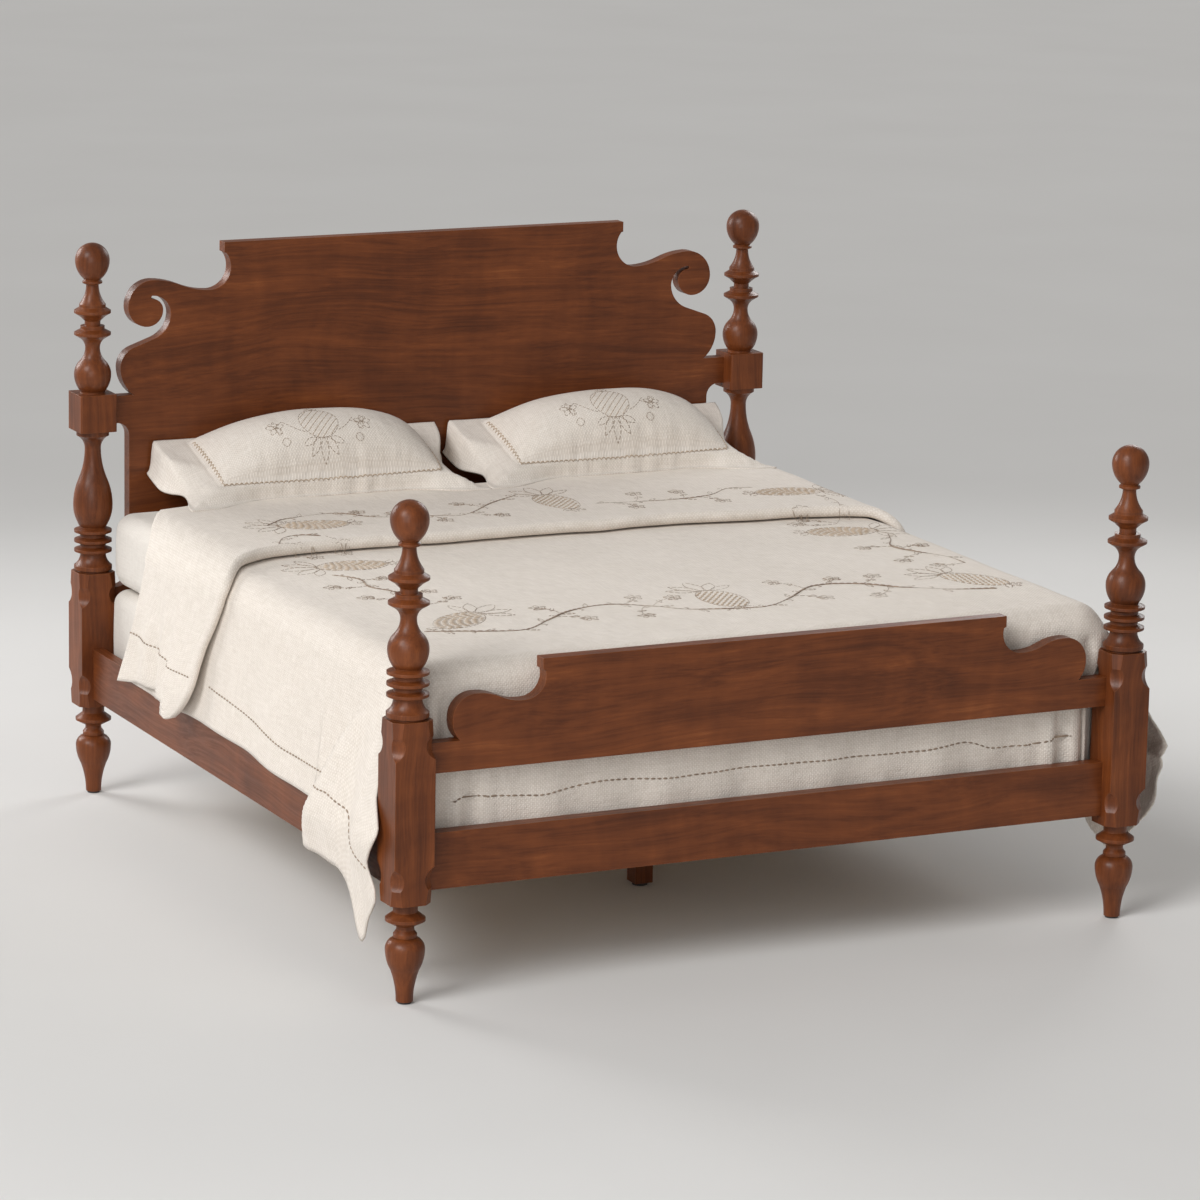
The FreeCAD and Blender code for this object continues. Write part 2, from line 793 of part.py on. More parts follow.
def end_rail(label, front):
    """The head or foot rail, tenoned into two posts."""
    body = new_body(label)
    sketch = new_sketch(body, "XZ_Plane")
    rectangle(sketch, -place.panel_span, place.rail_bottom, place.panel_span, place.rail_top)
    pad(body, sketch, s.panel_thickness, both_ways=True)
    tenons(body, place.panel_span, place.rail_bottom, place.rail_top)
    put(body, 0, front + s.panel_thickness / 2, 0)


# Side rails with their hooks


def side_rail(label, side):
    """A side rail with a recess for a hook plate in each end."""
    body = new_body(label)
    sketch = new_sketch(body, "XZ_Plane")
    half = s.rail_thickness / 2
    rectangle(sketch, -half, place.rail_bottom, half, place.rail_top)
    pad(body, sketch, place.rail_span * 2, both_ways=True)
    wide = s.plate_width / 2 + s.plate_clearance
    tall = s.plate_height / 2 + s.plate_clearance
    for toward in (-1, 1):
        sketch = new_sketch(body, "XZ_Plane", place.rail_span * toward)
        rectangle(sketch, -wide, place.plate_middle - tall, wide, place.plate_middle + tall)
        pocket(body, sketch, s.plate_thickness, backwards=toward < 0)
    put(body, place.rail_middle * side, 0, 0)


def hook_plate(label, side, end):
    """A steel plate let into a rail's end, with two hooks that drop behind the post's plate."""
    body = new_body(label)
    sketch = new_sketch(body, "XZ_Plane")
    half = s.plate_width / 2
    tall = s.plate_height / 2
    rectangle(sketch, -half, -tall, half, tall)
    pad(body, sketch, s.plate_thickness, backwards=end > 0)
    for way in (-1, 1):
        sketch = new_sketch(body, "YZ_Plane")
        hook_outline(end, s.hook_spacing / 2 * way).draw(sketch)
        pad(body, sketch, s.hook_width, both_ways=True)
    put(body, place.rail_middle * side, (place.rail_span - s.plate_thickness) * end, place.plate_middle)


def hook_outline(end, middle):
    """A hook seen from the side: a tongue through the slot, with a lip behind the plate."""
    root = s.plate_thickness
    behind = root + s.plate_thickness + s.hook_clearance
    tip = behind + s.hook_lip
    low = middle - s.hook_root / 2
    high = middle + s.hook_root / 2
    outline = Outline(root * end, low)
    outline.go(behind * end, low)
    outline.go(behind * end, low - s.hook_drop)
    outline.go(tip * end, low - s.hook_drop)
    outline.go(tip * end, high)
    outline.go(root * end, high)
    return outline.go(root * end, low)


def slot_plate(label, side, end):
    """A steel plate let into a post, with a slot for each hook."""
    body = new_body(label)
    sketch = new_sketch(body, "XZ_Plane")
    half = s.plate_width / 2
    tall = s.plate_height / 2
    rectangle(sketch, -half, -tall, half, tall)
    pad(body, sketch, s.plate_thickness, backwards=end > 0)
    for way in (-1, 1):
        middle = s.hook_spacing / 2 * way
        reach = s.hook_width / 2 + s.hook_clearance
        low = middle - s.hook_root / 2
        high = middle + s.hook_root / 2 + s.hook_drop + s.hook_clearance
        sketch = new_sketch(body, "XZ_Plane")
        rectangle(sketch, -reach, low, reach, high)
        pocket(body, sketch, s.plate_thickness, backwards=end < 0)
    put(body, place.rail_middle * side, place.rail_span * end, place.plate_middle)


# Slats and what carries them


def ledger(label, side):
    inner = place.rail_inner - s.ledger_thickness
    left = inner if side > 0 else -place.rail_inner
    low = (left, -place.rail_span + s.slat_margin / 2, place.ledger_top - s.ledger_height)
    high = (left + s.ledger_thickness, place.rail_span - s.slat_margin / 2, place.ledger_top)
    board(label, low, high)


def slats():
    count = int(plain.slat_count)
    half = place.rail_inner - s.slat_end_gap
    first = -place.rail_span + s.slat_margin
    travel = (place.rail_span - s.slat_margin) * 2 - s.slat_width
    for index in range(count):
        y = first + travel * index / (s.slat_count - 1)
        board(f"slat_{index + 1:02d}", (-half, y, place.ledger_top), (half, y + s.slat_width, place.slat_top))


def centre_beam():
    foot_end = place.footboard_front + s.panel_thickness + s.bracket_plate + s.beam_end_gap
    head_end = place.headboard_front - s.bracket_plate - s.beam_end_gap
    half = s.beam_width / 2
    board("centre_beam", (-half, foot_end, place.beam_bottom), (half, head_end, place.ledger_top))


def beam_bracket(label, back, way):
    """An angle bracket on an end rail that carries the beam: way points from the rail to the beam."""
    body = new_body(label)
    sketch = new_sketch(body, "YZ_Plane")
    low = place.beam_bottom - s.bracket_plate
    outline = Outline(0, low)
    outline.go(s.bracket_seat * way, low)
    outline.go(s.bracket_seat * way, place.beam_bottom)
    outline.go(s.bracket_plate * way, place.beam_bottom)
    outline.go(s.bracket_plate * way, low + s.bracket_height)
    outline.go(0, low + s.bracket_height)
    outline.go(0, low)
    outline.draw(sketch)
    pad(body, sketch, s.beam_width, both_ways=True)
    put(body, 0, back, 0)


def round_section(body, diameter, bottom, height, cut=False):
    sketch = new_sketch(body, "XY_Plane", bottom)
    radius = diameter / 2
    sketch.addGeometry(Part.Circle(FreeCAD.Vector(0, 0, 0), FreeCAD.Vector(0, 0, 1), radius.value))
    sketch.addConstraint(Sketcher.Constraint("Coincident", 0, 3, -1, 1))
    tie(sketch, Sketcher.Constraint("Radius", 0, radius.value), radius)
    if cut:
        return pocket(body, sketch, height, backwards=True)
    return pad(body, sketch, height)


def centre_leg(label, y):
    """A square leg under the beam, bored for the stem of its levelling foot."""
    body = new_body(label)
    half = s.leg_side / 2
    sketch = new_sketch(body, "XY_Plane", s.leveller_base)
    rectangle(sketch, -half, -half, half, half)
    pad(body, sketch, place.beam_bottom - s.leveller_base)
    bore = s.leveller_stem_diameter + s.leveller_socket_gap * 2
    round_section(body, bore, s.leveller_base, s.leveller_stem + s.leveller_socket_gap, cut=True)
    put(body, 0, y, 0)


def leveller(label, y):
    body = new_body(label)
    round_section(body, s.leveller_diameter, term(0), s.leveller_base)
    round_section(body, s.leveller_stem_diameter, s.leveller_base, s.leveller_stem)
    put(body, 0, y, 0)


def glide(label, x, y):
    body = new_body(label)
    round_section(body, s.glide_diameter, term(0), s.glide_height)
    put(body, x, y, 0)


# Bedding


def solid_piece(label, shape):
    piece = doc.addObject("Part::Feature", label)
    piece.Label = label
    piece.Shape = shape
    pieces.append(piece)
    return piece


def closed_wire(corners):
    """A closed wire through corners: a corner with a second item is the end of an arc through that item."""
    edges = []
    for index, corner in enumerate(corners):
        first = corners[index - 1][0]
        if len(corner) == 1:
            edges.append(Part.LineSegment(first, corner[0]).toShape())
        else:
            edges.append(Part.Arc(first, corner[1], corner[0]).toShape())
    return Part.Wire(edges)


def rounded_block(label, height, corner, roll, bottom):
    """A stuffed block as wide and long as the mattress: rounded in plan, with rolled edges."""
    body = new_body(label)
    sketch = new_sketch(body, "XY_Plane")
    rounded_rectangle(s.mattress_width / 2, s.mattress_length / 2, corner).draw(sketch)
    block = pad(body, sketch, height)
    doc.recompute()
    rims = [
        f"Edge{index}"
        for index, edge in enumerate(block.Shape.Edges, start=1)
        if abs(edge.Vertexes[0].Z - edge.Vertexes[-1].Z) < NEAR
    ]
    rolled = body.newObject("PartDesign::Fillet", f"{label}_roll")
    rolled.Base = (block, rims)
    rolled.Radius = roll.value
    rolled.setExpression("Radius", roll.text)
    body.Tip = rolled
    put(body, 0, 0, bottom)


def cloth_round(offset):
    """The radius at which a layer of cloth turns over the mattress's edge."""
    return plain.mattress_roll + plain.cloth_round_growth * offset


def leg_reach(height, offset, fold):
    """How far from the middle a layer hangs at a height: it leans out to clear the rail's upper edge."""
    top = place.mattress_top.value - plain.mattress_roll
    side = plain.mattress_width / 2
    rail_edge = (place.rail_inner + s.rail_thickness).value + plain.cloth_rail_gap
    lean = (rail_edge - side) / (top - place.rail_top.value)
    return side + offset + (lean + fold / top) * max(0.0, top - height)


def cloth_section(y, hem, fold, inside, outside):
    """A layer of the coverlet cut across the bed: over the top, round two shoulders and down to both hems."""
    top = place.mattress_top.value
    side = plain.mattress_width / 2

    def corner(x, z):
        return FreeCAD.Vector(x, y, z)

    def shoulder(hand, offset, upwards):
        radius = cloth_round(offset)
        x = side + offset
        z = top + offset
        crown = corner(hand * (x - radius * QUARTER_SAG), z - radius * QUARTER_SAG)
        finish = corner(hand * (x - radius), z) if upwards else corner(hand * x, z - radius)
        return finish, crown

    def spring(hand, offset):
        return (corner(hand * (side + offset), top + offset - cloth_round(offset)),)

    def crest(hand, offset):
        return (corner(hand * (side + offset - cloth_round(offset)), top + offset),)

    def foot(hand, offset):
        return (corner(hand * leg_reach(hem, offset, fold), hem),)

    return closed_wire([
        foot(-1, outside),
        spring(-1, outside),
        shoulder(-1, outside, True),
        crest(1, outside),
        shoulder(1, outside, False),
        foot(1, outside),
        foot(1, inside),
        spring(1, inside),
        shoulder(1, inside, True),
        crest(-1, inside),
        shoulder(-1, inside, False),
        foot(-1, inside),
    ])


def cloth_layer(stations, inside, outside):
    sections = [cloth_section(y, hem, fold, inside, outside) for y, hem, fold in stations]
    return Part.makeLoft(sections, True, True)


def coverlet_stations():
    """Places along the bed with the hem's height and the depth of the fold there, from head to foot.

    The cloth's corner at the foot hangs beside the post as a flap that ends in a point.
    """
    hem = plain.coverlet_hem
    fold = plain.coverlet_fold
    flap = plain.corner_flap_place
    flap_hem = plain.corner_flap_height
    tip = plain.corner_tip_place
    tip_hem = plain.corner_tip_height
    head = plain.coverlet_head
    foot = plain.coverlet_foot
    steps = int(plain.coverlet_folds)
    stations = []
    for index in range(steps + 1):
        y = head - (head + flap) * index / steps
        stations.append((y, hem, fold * (index % 2)))
    flare = plain.corner_flap_flare
    stations.append((-flap - plain.corner_flap_step, flap_hem, flare))
    stations.append((-(flap + tip) / 2, (flap_hem * 2 + tip_hem) / 3, flare / 2))
    stations.append((-tip, tip_hem, flare))
    stations.append((-foot, hem, 0))
    return stations


def turn_down_stations():
    """The folded-back end: its front edge runs back towards the head as it comes down the side."""
    top = place.mattress_top.value - plain.mattress_roll * 2
    edge = plain.turn_down_edge
    tip = plain.turn_down_tip_place
    tip_hem = plain.turn_down_tip_height
    head = plain.coverlet_head
    fold = plain.coverlet_fold
    return [
        (head, tip_hem + fold, 0),
        ((head + tip) / 2, tip_hem + fold, fold),
        (tip, tip_hem, fold),
        (edge, top, fold),
    ]


def foot_drop():
    """The end of the cloth that hangs between the mattress and the footboard."""
    top = place.mattress_top.value
    end = -plain.mattress_length / 2
    hem = plain.foot_drop_hem
    half = plain.foot_drop_half_width

    def corner(y, z):
        return FreeCAD.Vector(-half, y, z)

    def bend(offset, upwards):
        radius = cloth_round(offset)
        y = end - offset
        z = top + offset
        crown = corner(y + radius * QUARTER_SAG, z - radius * QUARTER_SAG)
        return corner(y + radius, z) if upwards else corner(y, z - radius), crown

    inside = plain.soft_gap
    outside = inside + plain.foot_drop_thickness
    lap = end + cloth_round(outside) + plain.foot_drop_lap
    profile = closed_wire([
        (corner(end - inside, hem),),
        (corner(end - inside, top + inside - cloth_round(inside)),),
        bend(inside, True),
        (corner(lap, top + inside),),
        (corner(lap, top + outside),),
        (corner(end - outside + cloth_round(outside), top + outside),),
        bend(outside, False),
        (corner(end - outside, hem),),
    ])
    return Part.Face(profile).extrude(FreeCAD.Vector(half * 2, 0, 0))


def coverlet():
    """One cloth over the mattress, with its turned-down end and the drop at the foot."""
    inside = plain.soft_gap
    outside = inside + plain.coverlet_thickness
    lofted = outside + plain.turn_down_loft
    sheet = cloth_layer(coverlet_stations(), inside, outside)
    turned = cloth_layer(turn_down_stations(), (inside + outside) / 2, lofted)
    solid_piece("coverlet", sheet.fuse([turned, foot_drop()]).removeSplitter())


def pillow_section(x, depth, crown, belly):
    """A slice across a pillow: a high crown above, a flatter belly below, and a thin sewn edge."""
    edge = plain.pillow_edge
    start = (plain.pillow_depth - depth) / 2

    def corner(y, z):
        return FreeCAD.Vector(x, y, z)

    return closed_wire([
        (corner(start, 0), corner(start + depth / 2, -belly)),
        (corner(start, edge),),
        (corner(start + depth, edge), corner(start + depth / 2, edge + crown)),
        (corner(start + depth, 0),),
    ])


def pillow(label, x):
    """A pillow leaning back against the headboard, with its front edge on the turned-down cloth."""
    width = plain.pillow_width
    depth = plain.pillow_depth
    draw_in = plain.pillow_draw_in
    slices = []
    steps = int(plain.pillow_slices)
    for step in range(-steps, steps + 1):
        share = math.sin(math.pi / 2 * step / steps)
        fullness = math.sqrt(1 - share ** 4)
        narrow = depth - 2 * draw_in * (1 - share ** 2)
        crown = plain.pillow_end + plain.pillow_crown * fullness
        belly = plain.pillow_end + plain.pillow_belly * fullness
        slices.append(pillow_section(width / 2 * share, narrow, crown, belly))
    piece = solid_piece(label, Part.makeLoft(slices, True, True))
    tilt = math.radians(plain.pillow_tilt)
    gap = plain.soft_gap
    front = place.headboard_front.value - gap - depth * math.cos(tilt)
    cloth = plain.coverlet_thickness + plain.turn_down_loft
    rest = place.mattress_top.value + gap * 2 + cloth
    lean = FreeCAD.Rotation(FreeCAD.Vector(1, 0, 0), plain.pillow_tilt)
    piece.Placement = FreeCAD.Placement(FreeCAD.Vector(x, front, rest), lean)


def build():
    for side, hand in ((-1, "left"), (1, "right")):
        post(f"post_head_{hand}", side, True)
        post(f"post_foot_{hand}", side, False)
        side_rail(f"side_rail_{hand}", side)
        ledger(f"ledger_{hand}", side)
        for end, name in ((-1, "foot"), (1, "head")):
            hook_plate(f"hook_plate_{name}_{hand}", side, end)
            slot_plate(f"slot_plate_{name}_{hand}", side, end)
            glide(f"post_glide_{name}_{hand}", place.post_x * side, place.post_y * end)
    panel("headboard_panel", headboard_half(), place.headboard_front, True)
    panel("footboard_panel", footboard_half(), place.footboard_front, False)
    end_rail("head_rail", place.headboard_front)
    end_rail("foot_rail", place.footboard_front)
    slats()
    centre_beam()
    beam_bracket("beam_bracket_foot", place.footboard_front + s.panel_thickness, 1)
    beam_bracket("beam_bracket_head", place.headboard_front, -1)
    for name, way in (("front", -1), ("rear", 1)):
        centre_leg(f"centre_leg_{name}", s.leg_inset * way)
        leveller(f"leg_leveller_{name}", s.leg_inset * way)
    rounded_block("box_spring", s.box_spring_height, s.box_spring_corner, s.box_spring_roll,
                  place.box_spring_bottom)
    rounded_block("mattress", s.mattress_height, s.mattress_corner, s.mattress_roll,
                  place.mattress_bottom)
    coverlet()
    pillow("pillow_left", plain.pillow_left_place)
    pillow("pillow_right", plain.pillow_right_place)


def check_and_write():
    """Writes every piece once all of the document is sound."""
    doc.recompute()
    for item in doc.Objects:
        if "Invalid" in item.State or "Error" in item.State:
            raise RuntimeError(f"{item.Label} failed: {item.State}")
    for piece in pieces:
        if piece.Shape.isNull() or not piece.Shape.isValid():
            raise RuntimeError(f"{piece.Label} has no valid shape")
    os.makedirs("parts", exist_ok=True)
    for piece in pieces:
        piece.Shape.exportStep(f"parts/{piece.Label}.step")


build()
check_and_write()
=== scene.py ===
"""Poster bed: finishes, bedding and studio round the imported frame. Metres, +Y to the head, +Z up."""

import math

import bpy
import numpy as np
from mathutils import Matrix, Vector, noise
from mathutils.bvhtree import BVHTree


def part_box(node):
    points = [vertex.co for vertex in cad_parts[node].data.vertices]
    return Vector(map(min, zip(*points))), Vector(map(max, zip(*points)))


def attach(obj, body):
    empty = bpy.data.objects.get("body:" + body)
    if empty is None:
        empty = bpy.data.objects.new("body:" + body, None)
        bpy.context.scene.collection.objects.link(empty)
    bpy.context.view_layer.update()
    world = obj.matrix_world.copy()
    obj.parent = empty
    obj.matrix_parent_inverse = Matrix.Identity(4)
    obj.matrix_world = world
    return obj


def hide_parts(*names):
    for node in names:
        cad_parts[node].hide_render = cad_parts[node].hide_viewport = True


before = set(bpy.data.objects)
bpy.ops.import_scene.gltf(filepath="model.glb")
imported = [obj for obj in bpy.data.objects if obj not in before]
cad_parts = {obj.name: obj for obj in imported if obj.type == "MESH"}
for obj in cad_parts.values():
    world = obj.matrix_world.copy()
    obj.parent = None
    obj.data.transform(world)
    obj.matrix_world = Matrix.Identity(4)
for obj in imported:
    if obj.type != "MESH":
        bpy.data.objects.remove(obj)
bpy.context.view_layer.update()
mattress_low, mattress_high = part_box("mattress")
spring_low, spring_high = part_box("box_spring")
headboard_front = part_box("headboard_panel")[0].y

# Camera: the place it looks at, and how it stands from there
CAMERA_TARGET = Vector((0.20186, 0.34212, 0.6))
CAMERA_DISTANCE = 13.9258
CAMERA_TURN = -0.454628
CAMERA_RISE = 0.219224
CAMERA_ROLL = 0.019797
CAMERA_LENS = 153.8
CAMERA_SENSOR = 36.0

# The coverlet across the bed: a flat top, rounded shoulders and hanging sides
CLOTH_THICKNESS = 0.005
CLOTH_LIFT = 0.006
SHOULDER_PLACE = 0.905
SHOULDER_ROUND = 0.072
CLOTH_BASE = mattress_high.z
SHOULDER_FOOT = CLOTH_BASE - SHOULDER_ROUND
SIDE_LEAN = 0.036
LEAN_HEIGHT = 0.35

# The coverlet along the bed: the foot's edge, the head fold and the turned-down band
FOOT_ROUND = 0.060
FOOT_PLANE = mattress_low.y - 0.0095
FOOT_SIDE_END = -1.010
FOOT_HEM = 0.392
HEAD_FOLD = 0.800
BAND_LIFT = 0.043
BAND_SIDE_LIFT = 0.030
BAND_ROLL = 0.0135
BAND_SIDE_ROLL = 0.0070

# The corner flap beside each foot post
FLAP_START = -0.578
FLAP_OUT = 0.052

# Pillows: a sewn body with a wide flange round it, and how its seam leans back
PILLOW_HALF_WIDTH = 0.33
PILLOW_DEPTH = 0.272
PILLOW_SIDE_FLANGE = 0.140
PILLOW_REACH = PILLOW_HALF_WIDTH + PILLOW_SIDE_FLANGE
PILLOW_FRONT_FLANGE = 0.066
PILLOW_BACK_FLANGE = 0.012
PILLOW_CROWN = 0.128
PILLOW_BELLY = 0.095
PILLOW_TILT = math.radians(17)
PILLOW_SEAM_FRONT = (0.785, 0.893)
PILLOW_MOTIF_SHIFT = -0.022
PILLOWS = {"pillow_left": -0.396, "pillow_right": 0.490}

# Threads: how high they stand and how deep they sink, where they drop from, and steps along their lines
THREAD_HEIGHT = 0.0022
THREAD_SINK = 0.0006
DROP_FROM = 0.6
HEM_STEP = 0.0022
STITCH_STEP = 0.002
VINE_STEP = 0.006


# Small helpers for shapes


def ease(x, low, high):
    """Goes from 0 at low to 1 at high, softly at both ends."""
    share = np.clip((x - low) / (high - low), 0.0, 1.0)
    return share * share * (3.0 - 2.0 * share)


def hill(x, middle, width):
    return np.exp(-(((x - middle) / width) ** 2))


def curve(*points, blur=0.02):
    """A soft line through points given as (place, value)."""
    places, values = zip(*sorted(points))
    steps = np.linspace(-1.6, 1.6, 9)
    weights = np.exp(-(steps ** 2))
    weights /= weights.sum()

    def read(x):
        return sum(w * np.interp(x + step * blur, places, values) for step, w in zip(steps, weights))

    return read


def spread(start, *runs):
    """Places from start on, through runs given as (end, spacing)."""
    places = [start]
    for end, spacing in runs:
        count = max(1, round(abs(end - places[-1]) / spacing))
        places.extend(np.linspace(places[-1], end, count + 1)[1:])
    return np.array(places)


def ripple(x, y, scale, seed):
    """Soft noise from -1 to 1 over a pair of arrays."""
    x, y = np.broadcast_arrays(x, y)
    values = [noise.noise(Vector((a * scale, b * scale, seed))) for a, b in zip(x.ravel(), y.ravel())]
    return np.array(values).reshape(x.shape)


def joined(*parts):
    """Values spread to one shape and joined into points."""
    return np.stack(np.broadcast_arrays(*parts), axis=-1)


def lengths_along(points):
    """The length run along a broken line at each of its points."""
    steps = np.linalg.norm(np.diff(points, axis=0), axis=1)
    return np.concatenate(((0.0,), np.cumsum(steps)))


def resample(points, spacing):
    """Even points along a broken line."""
    points = np.asarray(points, dtype=float)
    lengths = lengths_along(points)
    count = max(2, int(lengths[-1] / spacing) + 1)
    even = np.linspace(0.0, lengths[-1], count)
    return joined(*(np.interp(even, lengths, places) for places in points.T))


def new_object(name, points, faces, material, uvs=None):
    """A mesh object from points and faces. uvs holds one pair of metres for each point."""
    mesh = bpy.data.meshes.new(name)
    mesh.from_pydata([tuple(p) for p in points], [], faces)
    mesh.polygons.foreach_set("use_smooth", [True] * len(mesh.polygons))
    if uvs is not None:
        layer = mesh.uv_layers.new(name="cloth")
        corners = np.empty(len(mesh.loops), dtype=np.int32)
        mesh.loops.foreach_get("vertex_index", corners)
        layer.data.foreach_set("uv", np.asarray(uvs)[corners].ravel())
    mesh.materials.append(material)
    mesh.update()
    made = bpy.data.objects.new(name, mesh)
    bpy.context.scene.collection.objects.link(made)
    return made


def grid_faces(rows, columns, keep=None):
    faces = []
    for row in range(rows - 1):
        for column in range(columns - 1):
            if keep is not None and not keep[row, column]:
                continue
            first = row * columns + column
            faces.append((first, first + 1, first + columns + 1, first + columns))
    return faces


def surface_of(made):
    """The finished surface of an object, to lay threads on."""
    return BVHTree.FromObject(made, bpy.context.evaluated_depsgraph_get())


def place_piece(made):
    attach(made, "root")
    return made


# Materials


class Shader:
    """A new material whose nodes are added and joined in short calls."""

    def __init__(self, name, fixed):
        self.material = bpy.data.materials.new(name)
        self.material.use_nodes = True
        self.nodes = self.material.node_tree.nodes
        self.links = self.material.node_tree.links
        self.surface = self.nodes["Principled BSDF"]
        for socket, value in fixed.items():
            self.surface.inputs[socket].default_value = value

    def put(self, socket, value):
        if isinstance(value, bpy.types.NodeSocket):
            self.links.new(value, socket)
        else:
            socket.default_value = value

    def add(self, kind, inputs=None, **settings):
        node = self.nodes.new("ShaderNode" + kind)
        for name, value in settings.items():
            setattr(node, name, value)
        for name, value in (inputs or {}).items():
            self.put(node.inputs[name], value)
        return node

    def place(self, kind="Object"):
        return self.add("TexCoord").outputs[kind]

    def math(self, operation, first, second=0.0):
        return self.add("Math", {0: first, 1: second}, operation=operation).outputs[0]

    def vector(self, operation, first, second):
        return self.add("VectorMath", {0: first, 1: second}, operation=operation).outputs[0]

    def noise(self, place, stretch, detail=2.0, rough=0.5):
        """Noise over a place that is first stretched along its three directions."""
        scaled = self.vector("MULTIPLY", place, stretch)
        inputs = {"Vector": scaled, "Scale": 1.0, "Detail": detail, "Roughness": rough}
        return self.add("TexNoise", inputs).outputs["Fac"]

    def stray(self, place, stretch, detail, reach):
        """A place moved about by slow noise, by up to half the reach each way."""
        scaled = self.vector("MULTIPLY", place, stretch)
        noise_inputs = {"Vector": scaled, "Scale": 1.0, "Detail": detail}
        wander = self.add("TexNoise", noise_inputs).outputs["Color"]
        shift = self.vector("SUBTRACT", wander, (0.5, 0.5, 0.5))
        return self.vector("ADD", place, self.vector("MULTIPLY", shift, (reach, reach, reach)))

    def weigh(self, *parts):
        """The sum of factors given as (factor, weight)."""
        total = 0.0
        for factor, weight in parts:
            total = self.math("ADD", total, self.math("MULTIPLY", factor, weight))
        return total

    def ramp(self, factor, *stops):
        """Colours read along a factor, with stops given as (place, colour)."""
        node = self.add("ValToRGB", {"Fac": factor})
        steps = node.color_ramp.elements
        while len(steps) < len(stops):
            steps.new(0.5)
        for step, (place, colour) in zip(steps, stops):
            step.position = place
            step.color = (*colour, 1.0)
        return node.outputs["Color"]

    def share(self, factor, low, high):
        """A factor rescaled so that low gives 0 and high gives 1."""
        inputs = {"Value": factor, "From Min": low, "From Max": high}
        return self.add("MapRange", inputs).outputs["Result"]

    def blend(self, factor, first, second, mode="MIX"):
        node = self.add("Mix", data_type="RGBA", blend_type=mode)
        self.put(node.inputs[0], factor)
        self.put(node.inputs[6], first)
        self.put(node.inputs[7], second)
        return node.outputs[2]

    def bump(self, height, distance, below=None):
        inputs = {"Height": height, "Distance": distance}
        if below is not None:
            inputs["Normal"] = below
        return self.add("Bump", inputs).outputs["Normal"]

    def finish(self, **sockets):
        for name, value in sockets.items():
            self.put(self.surface.inputs[name.replace("_", " ")], value)
        return self.material


def along_grain(shader, grain):
    """The place on the piece, turned so that its third direction runs along the grain."""
    apart = shader.add("SeparateXYZ", {"Vector": shader.place()}).outputs
    order = {"x": "YZX", "y": "XZY", "z": "XYZ"}[grain]
    return shader.add("CombineXYZ", {way: apart[axis] for way, axis in zip("XYZ", order)}).outputs[0]


def wood(name, grain, stops, pith, gloss):
    """Planed or turned wood: blotches, growth rings, faint cross bands, pores, and paler edges that are
    partly a painted highlight and partly worn finish.
    """
    fixed = {"Coat Weight": gloss, "Coat Roughness": 0.28, "Specular IOR Level": 0.20}
    shader = Shader(name, fixed)
    place = along_grain(shader, grain)
    bent = shader.stray(place, (2.2, 2.2, 0.7), 3.0, 0.22)
    across = shader.vector("MULTIPLY", shader.vector("SUBTRACT", bent, (*pith, 0.0)), (1.0, 1.0, 0.0))
    reach = shader.add("VectorMath", {0: across}, operation="LENGTH").outputs["Value"]
    ring_place = shader.add("CombineXYZ", {"X": reach}).outputs[0]
    rings = shader.noise(ring_place, (70.0, 1.0, 1.0), detail=4.0, rough=0.55)
    streaks = shader.noise(bent, (150.0, 150.0, 2.2), detail=5.0, rough=0.68)
    blotches = shader.noise(bent, (13.0, 13.0, 3.0), detail=5.0, rough=0.60)
    bands = shader.noise(bent, (2.6, 2.6, 21.0), detail=3.0, rough=0.5)
    pores = shader.share(shader.noise(place, (900.0, 900.0, 26.0), detail=1.0), 0.60, 0.74)
    figure = shader.weigh((rings, 0.28), (streaks, 0.30), (blotches, 0.44), (bands, 0.13))
    colour = shader.ramp(shader.share(figure, 0.37, 0.80), *stops)
    colour = shader.blend(shader.math("MULTIPLY", pores, 0.35), colour, (*stops[0][1], 1.0))
    # Paler colour where the bevelled normal turns from the true one: a painted edge highlight, together with
    # worn finish on the edges.
    soft = shader.add("Bevel", {"Radius": 0.0026}, samples=6).outputs["Normal"]
    straight = shader.add("NewGeometry").outputs["Normal"]
    facing = shader.add("VectorMath", {0: soft, 1: straight}, operation="DOT_PRODUCT").outputs["Value"]
    edge_highlight_and_wear = shader.math("MULTIPLY", shader.share(facing, 1.0, 0.86), 0.5)
    colour = shader.blend(edge_highlight_and_wear, colour, (*stops[-1][1], 1.0))
    dull = shader.share(streaks, 1.30, -0.30)
    grooves = shader.math("SUBTRACT", shader.math("MULTIPLY", streaks, 0.5), pores)
    return shader.finish(Base_Color=colour, Roughness=dull, Normal=shader.bump(grooves, 0.00015, soft))


def weave_height(shader, place, pitch):
    """The height of threads that cross over and under each other, from 0 to 0.9."""
    apart = shader.add("SeparateXYZ", {"Vector": place}).outputs
    waves = [shader.math("SINE", shader.math("MULTIPLY", apart[way], math.pi / pitch)) for way in "XY"]
    crossing = shader.math("MULTIPLY", *waves)
    ribs = shader.math("ADD", *(shader.math("ABSOLUTE", wave) for wave in waves))
    return shader.weigh((ribs, 0.3), (crossing, 0.3))


